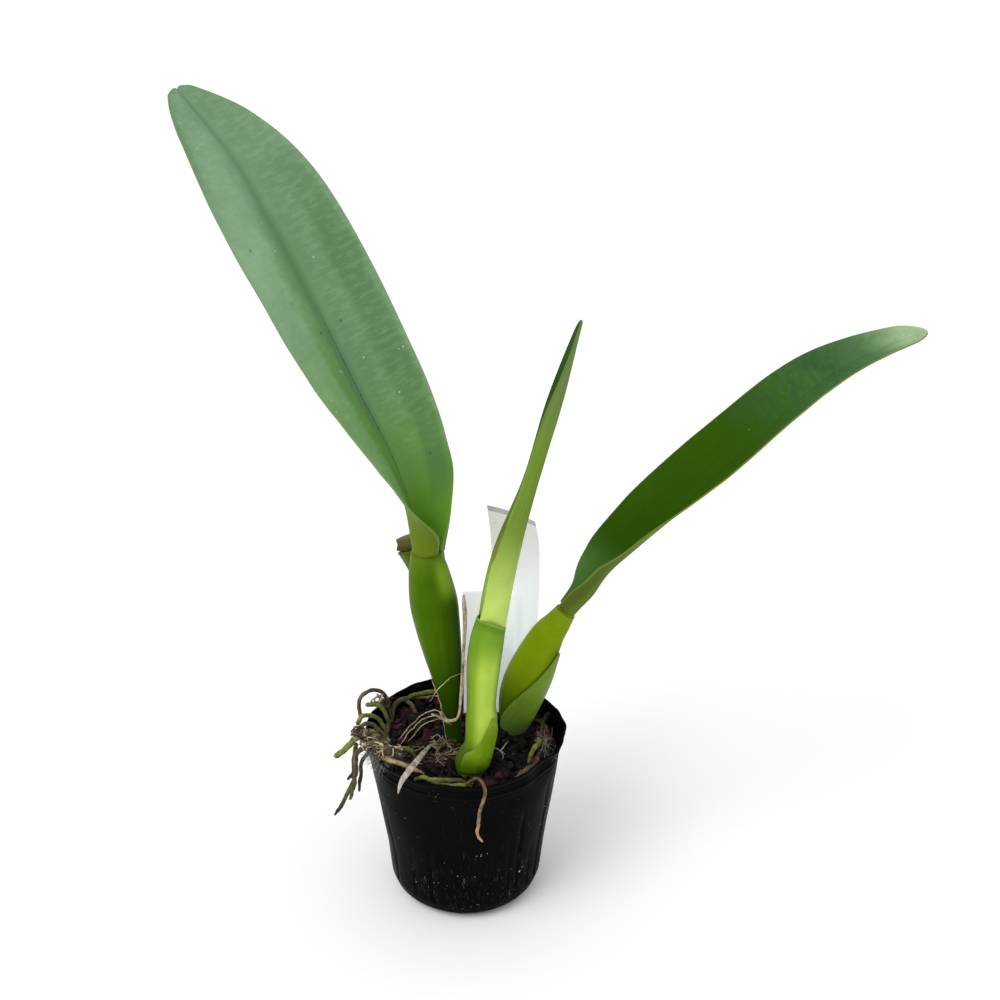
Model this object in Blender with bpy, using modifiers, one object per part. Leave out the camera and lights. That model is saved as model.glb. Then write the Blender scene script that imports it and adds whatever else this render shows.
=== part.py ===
"""Potted cattleya orchid: growths with leaves and roots, in bark mix, with two blank tags and a nursery pot.

The origin is the middle of the pot's flat base, +Z is up, and the young growth stands on the -Y side.
Lengths in the tables are in millimetres. The build helpers turn them into metres.
"""

import math
import random

import bmesh
import bpy
import numpy as np
from mathutils import Euler, Vector

MM = 0.001
SEED = 11
GAP = 0.3  # free space between two pieces that touch on the real plant
HOLE_GAP = 0.42  # how far the holes in the filling stay clear of what stands in them
SHARP_ANGLE = 50.0  # degrees, above which an edge is shaded sharp
PATH_STEPS = 24  # straight steps between two points of a smooth path

# Pot
POT_HEIGHT = 95.0
POT_WALL = 0.9
POT_FLOOR = 1.4
RIM_RADIUS = 52.3
NECK_RADIUS = 50.6
FOOT_RADIUS = 40.6
FLAT_RADIUS = 31.0
FOOT_HEIGHT = 9.5
POT_SIDES = 44
RIM_WAVE_START = 70.0  # height at which the soft wall starts to bend
RIM_BENDS = (  # (direction in degrees, push outwards, half angle of the bend)
    (8, 1.6, 20),
    (30, -1.0, 16),
    (-38, -2.6, 15),
    (-80, 1.2, 26),
    (150, -0.8, 30),
)
DRAIN_HOLES = 6
DRAIN_RADIUS = 4.0
DRAIN_CIRCLE = 20.0

# Bark mix
MIX_LEVEL = 84.0
MIX_CLEARANCE = 0.6
CHUNKS = 46
CHUNK_LENGTH = (9.0, 14.0)
CHUNK_WIDTH = (7.0, 10.0)
CHUNK_DEPTH = (5.0, 8.0)
CHUNK_TURN = 137.5  # degrees from one chunk to the next, which spreads them evenly over the top
CHUNK_INSET = 4.5  # the outermost chunk's middle stays this far inside the wall
CHUNK_CLEARANCE = 1.6  # and its corners this far

# Rhizome: centrelines with a radius at each point
RHIZOME_MAIN = (
    (-9, 24, 80, 4.2),
    (-6, 13, 81, 4.6),
    (-5, 2, 80, 4.8),
    (8, -1, 80, 4.6),
    (20, 8, 79, 4.8),
    (27, 13, 78, 4.4),
)
RHIZOME_LEAD = ((8, -1, 80, 4.4), (5, -12, 80.5, 4.6), (2.5, -22, 80, 4.6))
KNUCKLE_DEPTH = 7.0  # a growth's foot meets the rhizome on a round knuckle this long
KNUCKLE_GAP = 0.75  # space between the knuckle's flat top and the slightly slanted foot

# Left growth: pseudobulb centreline with radius, from its foot to the ring under the leaf
BULB_LEFT = (
    (-5.3, 1, 87, 3.9),
    (-6.5, 1, 103, 4.6),
    (-8, 1, 119, 6.6),
    (-10.5, 2, 137, 9.6),
    (-13, 2, 154.5, 11.4),
    (-15, 3, 169, 12.0),
    (-17, 3, 185, 10.2),
    (-17.8, 3, 193.5, 8.3),
    (-18, 3, 197.5, 7.5),
)

# Old growth behind it, flat from front to back
BULB_BACK = (
    (-6, 18, 87, 4.2),
    (-6.1, 18.1, 92, 4.5),
    (-7.5, 20.5, 104, 5.6),
    (-11, 23, 130, 7.2),
    (-15, 25, 158, 8.4),
    (-19, 26, 176, 9.8),
    (-22.5, 27, 188, 12.3),
)
BACK_FLATNESS = 0.5
STUB_RISE = 6.5
STUB_NARROWING = (0.4, 1.6)  # how much slimmer than the bulb's top the stub's foot and top are

# Right growth
BULB_RIGHT = (
    (26, 12, 85, 5.5),
    (26.5, 11.5, 95, 8.5),
    (29.5, 10.5, 110, 11.0),
    (34.5, 10, 124, 11.3),
    (42.5, 11, 142.5, 8.9),
    (48.5, 11.5, 151.5, 6.8),
    (53, 12, 158, 5.2),
)

# Young growth in front, flattened from front to back
SHOOT = (
    (3.0, -29, 85.5, 4.5),
    (3.4, -29, 88, 7.0),
    (4.2, -28.5, 94, 8.2),
    (7.6, -27, 103, 7.0),
    (9.4, -27, 117, 7.9),
    (9.4, -27, 128, 7.3),
    (10.5, -26, 148, 8.4),
    (12.2, -26, 162, 8.4),
    (14.4, -26, 172, 7.5),
)
SHOOT_FLATNESS = 0.8
MOUTH_MARGIN = 16.0  # the cut for the young leaf runs on this far above the mouth
MOUTH_LEAN = 0.22  # how far to the right the young leaf leans for each step up
MOUTH_GAP = 0.48  # free space all round the leaf where it stands in the mouth

# Leaves. Each has a midrib line, and stations along it as (fraction of the length, value):
# half width, fold as the degrees that each half rises, turn as degrees round the midrib, thickness.
CREASE = 2.6  # distance over which a half of the blade bends up out of the crease
CREASE_STEPS = 24
TIP_PACKING = 1.35  # above 1, rows lie closer together towards the round tip
TIP_START = 0.94  # fraction of the length where the notched tip begins
EDGE_THINNING = 0.45  # share of the thickness that the blade loses from the midrib to its edge
THINNEST_EDGE = 0.75
LEAF_LEFT = {
    "midrib": (
        (-18, 3, 198.4),
        (-23.5, 4, 215),
        (-33, 7, 244.5),
        (-51, 15, 280.5),
        (-75, 28, 328),
        (-105, 44, 380.5),
        (-132, 59, 412),
    ),
    "half": (
        (0, 8.2),
        (0.08, 20.3),
        (0.2, 29.2),
        (0.4, 31.0),
        (0.6, 32.6),
        (0.8, 29.4),
        (0.93, 18.8),
        (0.98, 10.4),
        (1, 6),
    ),
    "fold": ((0, 108), (0.08, 58), (0.2, 50), (0.4, 37), (1, 6)),
    "turn": ((0, -20), (0.08, -12), (0.2, -31), (0.5, -26), (1, -15)),
    "thickness": ((0, 3.0), (0.08, 2.4), (0.25, 1.7), (1, 1.4)),
    "notch": 2.0,
}
LEAF_RIGHT = {
    "midrib": (
        (54, 12, 159.2),
        (63.5, 13, 167.5),
        (73, 16, 180),
        (90.5, 22, 194.5),
        (130, 28, 230.5),
        (181, 34, 278),
        (228, 40, 300),
    ),
    "half": (
        (0, 6.5),
        (0.06, 12.5),
        (0.18, 20.4),
        (0.4, 26),
        (0.65, 28.4),
        (0.85, 22.4),
        (0.95, 17.5),
        (0.985, 10),
        (1, 5),
    ),
    "fold": ((0, 84), (0.12, 50), (0.3, 34), (1, 8)),
    "turn": ((0, -17), (0.3, 6), (0.6, 2), (1, -7)),
    "thickness": ((0, 2.6), (0.1, 2.2), (0.25, 1.7), (1, 1.4)),
    "notch": 0.0,
}
LEAF_CENTRE = {
    "midrib": (
        (16, -26, 152),
        (20, -25, 172),
        (24.5, -23, 198),
        (33, -19.5, 235.5),
        (46, -16, 282.5),
        (55, -12, 321),
    ),
    "half": (
        (0, 10.5),
        (0.12, 13.4),
        (0.3, 12.7),
        (0.52, 7.6),
        (0.77, 7.1),
        (0.93, 3.4),
        (1, 1.3),
    ),
    "fold": ((0, 94), (0.5, 89), (1, 75)),
    "turn": ((0, -13), (0.5, -18), (1, -10)),
    "thickness": ((0, 1.3), (1, 1.0)),
    "notch": 0.0,
}
LEAF_ROWS = 26
LEAF_COLUMNS = (-1, -0.8, -0.5, -0.22, -0.07, 0.07, 0.22, 0.5, 0.8, 1)
YOUNG_COLUMNS = (-1, -0.6, -0.25, -0.08, 0.08, 0.25, 0.6, 1)

# Thin sheaths that clasp a growth: stations as (fraction of the growth's length, half angle of the arc)
SHEATH_RIGHT = {
    "arc": ((0.02, 125), (0.14, 112), (0.3, 88), (0.46, 62), (0.62, 30), (0.72, 7)),
    "facing": -28.0,
    "offset": 0.4,
    "flare": 2.2,
    "thickness": 0.8,
}
BRACT = {
    "arc": ((0.06, 80), (0.16, 95), (0.26, 70), (0.34, 42), (0.41, 8)),
    "facing": -52.0,
    "offset": 0.4,
    "flare": 0.8,
    "thickness": 0.8,
}
SHEATH_COLUMNS = 11
FLARE_BULGE = 2.5  # the flare's outward swing is this many times flare * (1 - rise)^2 * rise

# Roots: (radius, points). The last point is thinner where the root tapers.
ROOTS_LEFT = (
    (
        1.6,
        (
            (-67, -8, 82.5),
            (-62.5, -8, 86.5),
            (-58, -8, 92),
            (-52.5, -9, 97.8),
            (-45, -13, 97.8),
            (-36, -16, 90),
        ),
    ),
    (1.2, ((-56.5, -9, 90), (-58, -9, 80), (-58.5, -9, 72), (-61.5, -9, 68.5))),
    (1.3, ((-50, -19, 96.5), (-55.5, -18, 90), (-56.5, -17, 79), (-58, -16, 69.5), (-60, -16, 61))),
    (1.1, ((-57.5, -16, 73), (-61.5, -15, 64), (-64.5, -14, 56.5), (-69, -13, 48.5))),
    (1.0, ((-48, -24, 96.5), (-52, -25, 90), (-53, -25.5, 82), (-54, -26, 73.5))),
    (
        1.1,
        (
            (-57, 23, 86),
            (-58, 24, 92),
            (-57, 25, 97.5),
            (-52, 26.5, 100.5),
            (-46.5, 28, 99.5),
            (-42, 24, 95.5),
            (-40.5, 16, 90),
        ),
    ),
    (1.2, ((-52.5, 17, 97.8), (-47, 17, 97.8), (-43.5, 16, 94), (-41, 13, 89))),
    (1.2, ((-56.5, 4, 94.5), (-54, 6, 97.8), (-48, 7, 97.2), (-43.5, 6, 92), (-41, 2, 88))),
    (1.1, ((-58, -3, 92.5), (-53, -1, 97), (-48, 0, 96), (-43, -1, 91), (-40, -4, 87))),
    (1.3, ((-40.5, 18, 89), (-41.5, 6, 87.5), (-40, -6, 87), (-38, -17, 89), (-36, -26, 92))),
    (1.3, ((-38, -15, 88.5), (-32, -13.5, 90.5), (-28, -14, 90), (-24.5, -16, 86.5))),
    (1.2, ((-40, -31, 96.8), (-33, -33.5, 96), (-27, -32, 92), (-20, -31, 87))),
)
ROOT_TANGLE = (  # (middle, half sizes) of the dry tangle that the roots leave over the rim
    ((-38, -25, 96.5), (7, 6, 5)),
    ((-44.5, -21, 98.5), (7.5, 6, 4.2)),
    ((-50, -15, 99), (6.5, 6, 3.6)),
    ((-54.5, -10, 98.8), (4.5, 5, 3)),
    ((-41, -29, 98.6), (5, 4.5, 3)),
)
ROOTS_BACK = (
    (
        1.3,
        (
            (-40.5, 19, 86),
            (-39, 25, 91),
            (-36.5, 29, 92.5),
            (-31.5, 33.5, 92),
            (-26, 38.5, 91),
            (-17.5, 43, 89.5),
            (-11.5, 44.5, 85),
        ),
    ),
    (1.0, ((-29.5, 36, 90), (-24, 38.5, 88.5), (-16, 40, 88), (-10, 41, 84))),
    (1.2, ((-33, 32, 91), (-29, 29, 89), (-27, 26, 85))),
)
ROOTS_FRONT = (
    (
        1.2,
        (
            (-25, -36, 87),
            (-20.5, -39.5, 91),
            (-14.5, -42.5, 92),
            (-8, -43, 92),
            (-1, -42, 91),
            (4, -42.5, 88),
        ),
    ),
    (1.0, ((-17, -41.5, 91), (-11, -45.5, 91.5), (-2, -46.8, 91.5), (5, -46.3, 92.5))),
    (
        1.1,
        (
            (1, -46.6, 91.8),
            (6.5, -48, 96.2),
            (10, -51.5, 98.2),
            (13, -56.2, 96.5),
            (12.2, -56.2, 90),
            (10, -55.5, 84),
            (9, -54.8, 74),
            (8.4, -54, 66.5),
            (10.5, -53.6, 62.5),
        ),
    ),
)
ROOTS_RIGHT = (
    (1.3, ((37.5, 2, 85), (39, -3, 89), (38.5, -8, 90), (35.5, -14.5, 90), (33.5, -19, 86))),
    (1.2, ((40.5, 8, 84), (41.5, 13, 88.5), (44, 15.5, 92.5), (45, 14, 93.5))),
    (1.0, ((33, 18, 85), (38.5, 16, 88.5), (43, 11, 88), (44, 6, 85))),
    (
        1.4,
        (
            (27, -35, 86.5),
            (30.5, -33, 90),
            (34.5, -30, 90.5),
            (36, -26, 87),
            (38.5, -14, 86),
            (40, -2, 86),
            (41, 10, 86),
        ),
    ),
)
ROOT_TIP = 0.55  # radius at a root's tip, as a share of its own radius

# Dry remains of sheaths at the left growth
STRAND = (
    (
        0.75,
        (
            (0.2, 0.8, 173),
            (0.8, 0.5, 160),
            (0.6, 0, 147.5),
            (0.1, -1, 130),
            (-0.2, -2.6, 112),
            (-0.8, -3.8, 103.5),
            (-3.5, -6.2, 100.2),
            (-8, -6.8, 99.8),
            (-11.8, -5, 101.5),
            (-13.2, -2, 103.5),
        ),
    ),
    (
        0.5,
        (
            (-7.5, -6.9, 100),
            (-13, -7, 104.5),
            (-18.5, -8, 106.5),
            (-27, -10.5, 102.5),
            (-32.5, -13, 96),
        ),
    ),
)
DRY_BLADE = {
    "midrib": (
        (-17.5, -9.5, 90.6),
        (-20.5, -21, 93.8),
        (-23.5, -33, 96.6),
        (-27, -43, 97.5),
        (-30.4, -49, 94.9),
        (-32.8, -51.6, 88),
    ),
    "half": ((0, 0.9), (0.3, 1.7), (0.6, 2.1), (0.85, 1.8), (1, 0.5)),
    "thickness": 0.7,
}
DRY_COLUMNS = (-1, -0.35, 0.35, 1)
DRY_ROWS = 10
DRY_CROWN = 0.35  # how far the blade's edges hang below its middle
DRY_LEAN = (0.35, 0, 1.0)  # the direction that the blade's face looks in

# Blank tags: left and right edge from the foot to the top
TAG_TALL = {
    "left": ((16.5, 33.5, 76), (15.5, 32.5, 120), (14.6, 31.5, 160), (14, 31, 188.5), (12, 30.5, 209.5)),
    "right": (
        (36, 27.5, 76),
        (37.5, 27.5, 120),
        (39.2, 28.2, 160),
        (39, 28.8, 186.5),
        (36.8, 28.5, 200.8),
    ),
    "bow": 2.4,
}
TAG_SHORT = {
    "left": ((-1.2, 24, 76), (-0.8, 24, 120), (-0.5, 24, 162.5)),
    "right": ((25.5, 25.6, 76), (25.9, 25.6, 120), (26.2, 25.6, 162)),
    "bow": 1.0,
}
TAG_THICKNESS = 0.8
TAG_GRID = (10, 6)  # rows and columns of points on a tag


def clear_scene():
    for obj in list(bpy.data.objects):
        bpy.data.objects.remove(obj, do_unlink=True)


def new_collection(name):
    made = bpy.data.collections.new(name)
    bpy.context.scene.collection.children.link(made)
    return made


def material(name, colour, roughness):
    """A Principled BSDF of one plain colour."""
    made = bpy.data.materials.new(name)
    made.use_nodes = True
    made.diffuse_color = (*colour, 1)
    shader = made.node_tree.nodes["Principled BSDF"]
    shader.inputs["Base Color"].default_value = (*colour, 1)
    shader.inputs["Roughness"].default_value = roughness
    return made


def object_of(mesh, name, collection):
    made = bpy.data.objects.new(name, mesh)
    collection.objects.link(made)
    return made


def finish(obj, look):
    """Gives a piece its material and smooth shading with sharp edges kept."""
    obj.data.materials.clear()
    obj.data.materials.append(look)
    obj.data.shade_smooth()
    obj.data.set_sharp_from_angle(angle=math.radians(SHARP_ANGLE))
    return obj


def make_cutter(obj):
    obj.hide_render = True
    obj.display_type = "WIRE"
    return obj


def apply_modifiers(obj):
    """Replaces the object's mesh with the one that its modifiers make."""
    bpy.context.view_layer.update()
    graph = bpy.context.evaluated_depsgraph_get()
    mesh = bpy.data.meshes.new_from_object(obj.evaluated_get(graph))
    obj.modifiers.clear()
    obj.data = mesh


def smooth_path(points, fractions):
    """Points on a Catmull-Rom curve through the given ones, at the given fractions of its length."""
    ends = np.asarray(points, float)
    ends = np.vstack([2 * ends[0] - ends[1], ends, 2 * ends[-1] - ends[-2]])
    t = np.linspace(0, 1, PATH_STEPS, endpoint=False)[:, None]
    runs = []
    for before, start, end, after in zip(ends[:-3], ends[1:-2], ends[2:-1], ends[3:]):
        linear = (end - before) * t
        square = (2 * before - 5 * start + 4 * end - after) * t**2
        cube = (3 * start - before - 3 * end + after) * t**3
        runs.append(0.5 * (2 * start + linear + square + cube))
    fine = np.vstack(runs + [ends[-2:-1]])
    steps = np.linalg.norm(np.diff(fine[:, :3], axis=0), axis=1)
    along = np.concatenate([[0], np.cumsum(steps)])
    wanted = np.asarray(fractions) * along[-1]
    return np.stack([np.interp(wanted, along, column) for column in fine.T], axis=1)


def value_along(stations, fractions):
    """A smooth curve through (fraction, value) stations, read at the given fractions."""
    stations = np.asarray(stations, float)
    x, y = stations[:, 0], stations[:, 1]
    slope = np.gradient(y, x)
    rise = np.diff(y) / np.diff(x)
    slope[1:-1] = np.where(rise[:-1] * rise[1:] <= 0, 0, slope[1:-1])
    k = np.clip(np.searchsorted(x, fractions, side="right") - 1, 0, len(x) - 2)
    width = x[k + 1] - x[k]
    t = np.clip((fractions - x[k]) / width, 0, 1)
    start = (1 + 2 * t) * (1 - t) ** 2 * y[k] + t * (1 - t) ** 2 * width * slope[k]
    end = t * t * (3 - 2 * t) * y[k + 1] + t * t * (t - 1) * width * slope[k + 1]
    return start + end


def unit(vectors):
    return vectors / np.linalg.norm(vectors, axis=-1, keepdims=True)


def grid_mesh(name, points):
    """An open surface through a grid of points in millimetres, in triangles that all slant one way."""
    rows, columns = points.shape[:2]
    flat = points.reshape(-1, 3) * MM
    faces = []
    for i in range(rows - 1):
        for j in range(columns - 1):
            a = i * columns + j
            b = a + columns
            faces.append((a, a + 1, b + 1))
            faces.append((a, b + 1, b))
    mesh = bpy.data.meshes.new(name)
    mesh.from_pydata(flat.tolist(), [], faces)
    return mesh


def thicken(obj, most, shares=None):
    """Solidify on the back of an open surface. Shares is each vertex's part of the full thickness."""
    solid = obj.modifiers.new("thickness", "SOLIDIFY")
    solid.thickness = most * MM
    solid.offset = -1
    solid.use_even_offset = False
    if shares is not None:
        group = obj.vertex_groups.new(name="thickness")
        for index, share in enumerate(shares.reshape(-1)):
            group.add([index], float(share), "REPLACE")
        solid.vertex_group = group.name
        solid.thickness_vertex_group = 0
    apply_modifiers(obj)


def blade_surface(shape, columns, rows):
    """The upper face of a leaf: its halves rise from a rounded crease along the midrib."""
    even = np.linspace(0, 1, rows)
    fractions = 1 - (1 - even) ** TIP_PACKING
    path = smooth_path(shape["midrib"], fractions)
    tangent = unit(np.gradient(path, axis=0))
    up = np.array([0, 0, 1.0])
    normal = unit(up - (tangent @ up)[:, None] * tangent)
    side = np.cross(tangent, normal)
    turn = np.radians(value_along(shape["turn"], fractions))[:, None]
    normal = normal * np.cos(turn) + side * np.sin(turn)
    side = np.cross(tangent, normal)
    half = value_along(shape["half"], fractions)[:, None]
    fold = np.radians(value_along(shape["fold"], fractions))[:, None]
    across = np.asarray(columns, float)[None, :]
    steps = (np.arange(CREASE_STEPS) + 0.5) / CREASE_STEPS
    reach = np.abs(across) * half
    angle = fold[..., None] * (1 - np.exp(-reach[..., None] * steps / CREASE))
    out = np.cos(angle).mean(axis=-1) * reach * np.sign(across)
    rise = np.sin(angle).mean(axis=-1) * reach
    near_tip = np.clip((fractions - TIP_START) / (1 - TIP_START), 0, 1)[:, None]
    lobes = shape["notch"] * near_tip * (1 - (1 - np.abs(across)) ** 2)
    offsets = side[:, None] * out[..., None] + normal[:, None] * rise[..., None]
    offsets = offsets + tangent[:, None] * lobes[..., None]
    return path[:, None] + offsets, fractions


def leaf(name, shape, columns, collection, rows=LEAF_ROWS):
    """A leathery blade, thickest along the midrib and at its foot."""
    points, fractions = blade_surface(shape, columns, rows)
    depth = value_along(shape["thickness"], fractions)
    most = depth.max()
    edge = 1 - EDGE_THINNING * np.asarray(columns, float) ** 2
    shares = np.clip(depth[:, None] * edge[None, :], THINNEST_EDGE, None) / most
    made = object_of(grid_mesh(name, points), name, collection)
    thicken(made, most, shares)
    return made


def tube(name, points, radius, collection, tip=1.0, sides=6, rings=None, flatness=1.0):
    """A round stalk along a centreline in millimetres. Its points may carry a radius as a fourth value."""
    points = np.asarray(points, float)
    if points.shape[1] == 3:
        radii = np.linspace(radius, radius * tip, len(points))
        radii[:-1] = radius
        points = np.column_stack([points, radii])
    rings = rings or 2 * len(points) - 1
    run = smooth_path(points, np.linspace(0, 1, rings))
    curve = bpy.data.curves.new(name, "CURVE")
    curve.dimensions = "3D"
    curve.bevel_depth = MM
    curve.bevel_resolution = (sides - 4) // 2
    curve.use_fill_caps = True
    line = curve.splines.new("POLY")
    line.points.add(rings - 1)
    for point, (x, y, z, r) in zip(line.points, run):
        point.co = (x * MM, y * MM, z * MM, 1)
        point.radius = r
    holder = object_of(curve, name + "_line", collection)
    bpy.context.view_layer.update()
    graph = bpy.context.evaluated_depsgraph_get()
    mesh = bpy.data.meshes.new_from_object(holder.evaluated_get(graph))
    bpy.data.objects.remove(holder, do_unlink=True)
    work = bmesh.new()
    work.from_mesh(mesh)
    bmesh.ops.remove_doubles(work, verts=work.verts, dist=1e-6)
    bmesh.ops.recalc_face_normals(work, faces=work.faces)
    work.to_mesh(mesh)
    work.free()
    if flatness != 1:
        squash(mesh, run, flatness)
    return object_of(mesh, name, collection)


def squash(mesh, run, flatness):
    """Draws every vertex towards its centreline along Y."""
    for vertex in mesh.vertices:
        height = vertex.co.z / MM
        middle = np.interp(height, run[:, 2], run[:, 1]) * MM
        vertex.co.y = middle + (vertex.co.y - middle) * flatness


def boolean(obj, operation, others, solver="EXACT"):
    """One Boolean with a collection of other objects, applied."""
    group = bpy.data.collections.new(obj.name + "_" + operation.lower())
    for other in others:
        group.objects.link(other)
    bpy.context.scene.collection.children.link(group)
    cut = obj.modifiers.new(operation.lower(), "BOOLEAN")
    cut.operation = operation
    cut.operand_type = "COLLECTION"
    cut.collection = group
    cut.solver = solver
    apply_modifiers(obj)
    bpy.context.scene.collection.children.unlink(group)
    bpy.data.collections.remove(group)


def fuse(name, pieces, collection):
    """One solid from overlapping pieces, which are used up."""
    whole, *rest = pieces
    boolean(whole, "UNION", rest)
    for piece in rest:
        bpy.data.objects.remove(piece, do_unlink=True)
    whole.name = name
    whole.data.name = name
    keep_largest(whole)
    return whole


def keep_largest(obj):
    """Drops loose scraps that a Boolean leaves."""
    work = bmesh.new()
    work.from_mesh(obj.data)
    left = set(work.verts)
    shells = []
    while left:
        front = [left.pop()]
        shell = list(front)
        while front:
            vertex = front.pop()
            for edge in vertex.link_edges:
                other = edge.other_vert(vertex)
                if other in left:
                    left.remove(other)
                    shell.append(other)
                    front.append(other)
        shells.append(shell)
    shells.sort(key=len)
    for shell in shells[:-1]:
        bmesh.ops.delete(work, geom=shell, context="VERTS")
    work.to_mesh(obj.data)
    work.free()


def swollen(obj, amount, cutters):
    """A copy of a closed piece, grown along its normals, that cuts the plain hole it stands in."""
    copy = object_of(obj.data.copy(), obj.name + "_hole", cutters)
    copy.matrix_world = obj.matrix_world
    work = bmesh.new()
    work.from_mesh(copy.data)
    work.normal_update()
    moved = [(vertex, vertex.co + vertex.normal * amount * MM) for vertex in work.verts]
    for vertex, place in moved:
        vertex.co = place
    work.to_mesh(copy.data)
    work.free()
    return make_cutter(copy)


def hull_of(name, points, cutters):
    """The convex solid round a set of points in millimetres."""
    work = bmesh.new()
    for point in points:
        work.verts.new(Vector(point) * MM)
    bmesh.ops.convex_hull(work, input=work.verts)
    loose = [vertex for vertex in work.verts if not vertex.link_faces]
    bmesh.ops.delete(work, geom=loose, context="VERTS")
    bmesh.ops.recalc_face_normals(work, faces=work.faces)
    mesh = bpy.data.meshes.new(name)
    work.to_mesh(mesh)
    work.free()
    return make_cutter(object_of(mesh, name, cutters))


def rim_push(x, y, z):
    """How far the soft wall is bent outwards at a place, growing towards the rim."""
    direction = math.degrees(math.atan2(y, x))
    push = 0.0
    for middle, amount, reach in RIM_BENDS:
        away = (direction - middle + 180) % 360 - 180
        if abs(away) < reach:
            push += amount * 0.5 * (1 + math.cos(math.pi * away / reach))
    rise = max(0.0, (z - RIM_WAVE_START) / (POT_HEIGHT - RIM_WAVE_START))
    return push * rise**1.5


def pot_profile():
    """Half the pot's section: inside from the middle up, over the rim, and down the outside."""
    inner_foot = FOOT_RADIUS - POT_WALL
    outer = [
        (RIM_RADIUS, POT_HEIGHT),
        (RIM_RADIUS + 0.2, POT_HEIGHT - 0.8),
        (NECK_RADIUS + 0.5, POT_HEIGHT - 3.0),
        (NECK_RADIUS, POT_HEIGHT - 6.0),
        (NECK_RADIUS + 0.35, POT_HEIGHT - 8.0),
        (NECK_RADIUS - 0.2, POT_HEIGHT - 10.0),
        (NECK_RADIUS - 3.6, 60.0),
        (FOOT_RADIUS + 1.9, 28.0),
        (FOOT_RADIUS, FOOT_HEIGHT),
        (FOOT_RADIUS - 1.9, 4.2),
        (FOOT_RADIUS - 5.0, 1.1),
        (FLAT_RADIUS, 0.0),
        (0.0, 0.0),
    ]
    inner = [
        (0.0, POT_FLOOR),
        (FLAT_RADIUS, POT_FLOOR),
        (inner_foot - 4.4, 2.3),
        (inner_foot - 1.6, 5.0),
        (inner_foot, FOOT_HEIGHT + 0.3),
        (FOOT_RADIUS + 1.9 - POT_WALL, 28.0),
        (NECK_RADIUS - 3.6 - POT_WALL, 60.0),
        (NECK_RADIUS - 0.2 - POT_WALL, POT_HEIGHT - 9.0),
        (NECK_RADIUS - POT_WALL, POT_HEIGHT - 4.0),
        (RIM_RADIUS - POT_WALL, POT_HEIGHT),
    ]
    return inner + outer


def turned(name, section, sides, collection):
    """A turned solid from a half section in millimetres that starts and ends on the axis."""
    mesh = bpy.data.meshes.new(name)
    points = [(radius * MM, 0, height * MM) for radius, height in section]
    mesh.from_pydata(points, [(i, i + 1) for i in range(len(points) - 1)], [])
    made = object_of(mesh, name, collection)
    screw = made.modifiers.new("turn", "SCREW")
    screw.steps = sides
    screw.render_steps = sides
    screw.use_merge_vertices = True
    screw.merge_threshold = 1e-5
    apply_modifiers(made)
    return made


def bend_with_wall(mesh):
    """Moves a turned mesh in and out with the bends of the soft wall."""
    for vertex in mesh.vertices:
        x, y, z = vertex.co / MM
        radius = math.hypot(x, y)
        if radius > 1:
            vertex.co.x *= 1 + rim_push(x, y, z) / radius
            vertex.co.y *= 1 + rim_push(x, y, z) / radius


def make_pot(parts, cutters):
    pot = turned("pot", pot_profile(), POT_SIDES, parts)
    bend_with_wall(pot.data)
    holes = []
    for index in range(DRAIN_HOLES):
        angle = math.tau * index / DRAIN_HOLES
        place = (DRAIN_CIRCLE * math.cos(angle) * MM, DRAIN_CIRCLE * math.sin(angle) * MM, 0)
        bpy.ops.mesh.primitive_cylinder_add(
            vertices=12,
            radius=DRAIN_RADIUS * MM,
            depth=4 * POT_FLOOR * MM,
            location=place,
        )
        hole = bpy.context.active_object
        hole.name = f"drain_hole_{index + 1}"
        move_to(hole, cutters)
        holes.append(make_cutter(hole))
    boolean(pot, "DIFFERENCE", holes)
    return finish(pot, material("pot_plastic", (0.012, 0.012, 0.014), 0.42))


def move_to(obj, collection):
    for holder in list(obj.users_collection):
        holder.objects.unlink(obj)
    collection.objects.link(obj)


def mix_section():
    """Half the section of the filling, clear of the pot all round."""
    foot = FOOT_RADIUS - POT_WALL - MIX_CLEARANCE
    neck = NECK_RADIUS - POT_WALL - MIX_CLEARANCE
    return [
        (0.0, MIX_LEVEL),
        (neck - 3.0, MIX_LEVEL + 0.5),
        (neck - 0.9, MIX_LEVEL - 1.0),
        (neck - 3.6, 60.0),
        (foot + 1.7, 28.0),
        (foot - 0.2, FOOT_HEIGHT + 1.0),
        (foot - 2.4, 5.8),
        (FLAT_RADIUS - 1.0, POT_FLOOR + GAP),
        (0.0, POT_FLOOR + GAP),
    ]


def bark_chunk(index, draw, parts):
    """A tilted block of bark, half sunk in the top of the filling."""
    room = NECK_RADIUS - POT_WALL - MIX_CLEARANCE
    turn = index * math.radians(CHUNK_TURN)
    away = (room - CHUNK_INSET) * math.sqrt((index + 0.5) / CHUNKS)
    size = [draw.uniform(*span) for span in (CHUNK_LENGTH, CHUNK_WIDTH, CHUNK_DEPTH)]
    tilt = Euler((draw.uniform(-0.5, 0.5), draw.uniform(-0.5, 0.5), draw.uniform(0, math.pi)))
    level = MIX_LEVEL + draw.uniform(-1.0, 1.2)
    middle = Vector((away * math.cos(turn), away * math.sin(turn), level))
    work = bmesh.new()
    bmesh.ops.create_cube(work, size=1)
    for vertex in work.verts:
        corner = Vector([c * s * draw.uniform(0.8, 1.05) for c, s in zip(vertex.co, size)])
        corner.rotate(tilt)
        place = middle + corner
        radius = math.hypot(place.x, place.y)
        limit = room - CHUNK_CLEARANCE + min(0.0, rim_push(place.x, place.y, place.z))
        if radius > limit:
            place.x *= limit / radius
            place.y *= limit / radius
        vertex.co = place * MM
    mesh = bpy.data.meshes.new(f"chunk_{index}")
    work.to_mesh(mesh)
    work.free()
    return object_of(mesh, mesh.name, parts)


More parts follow.
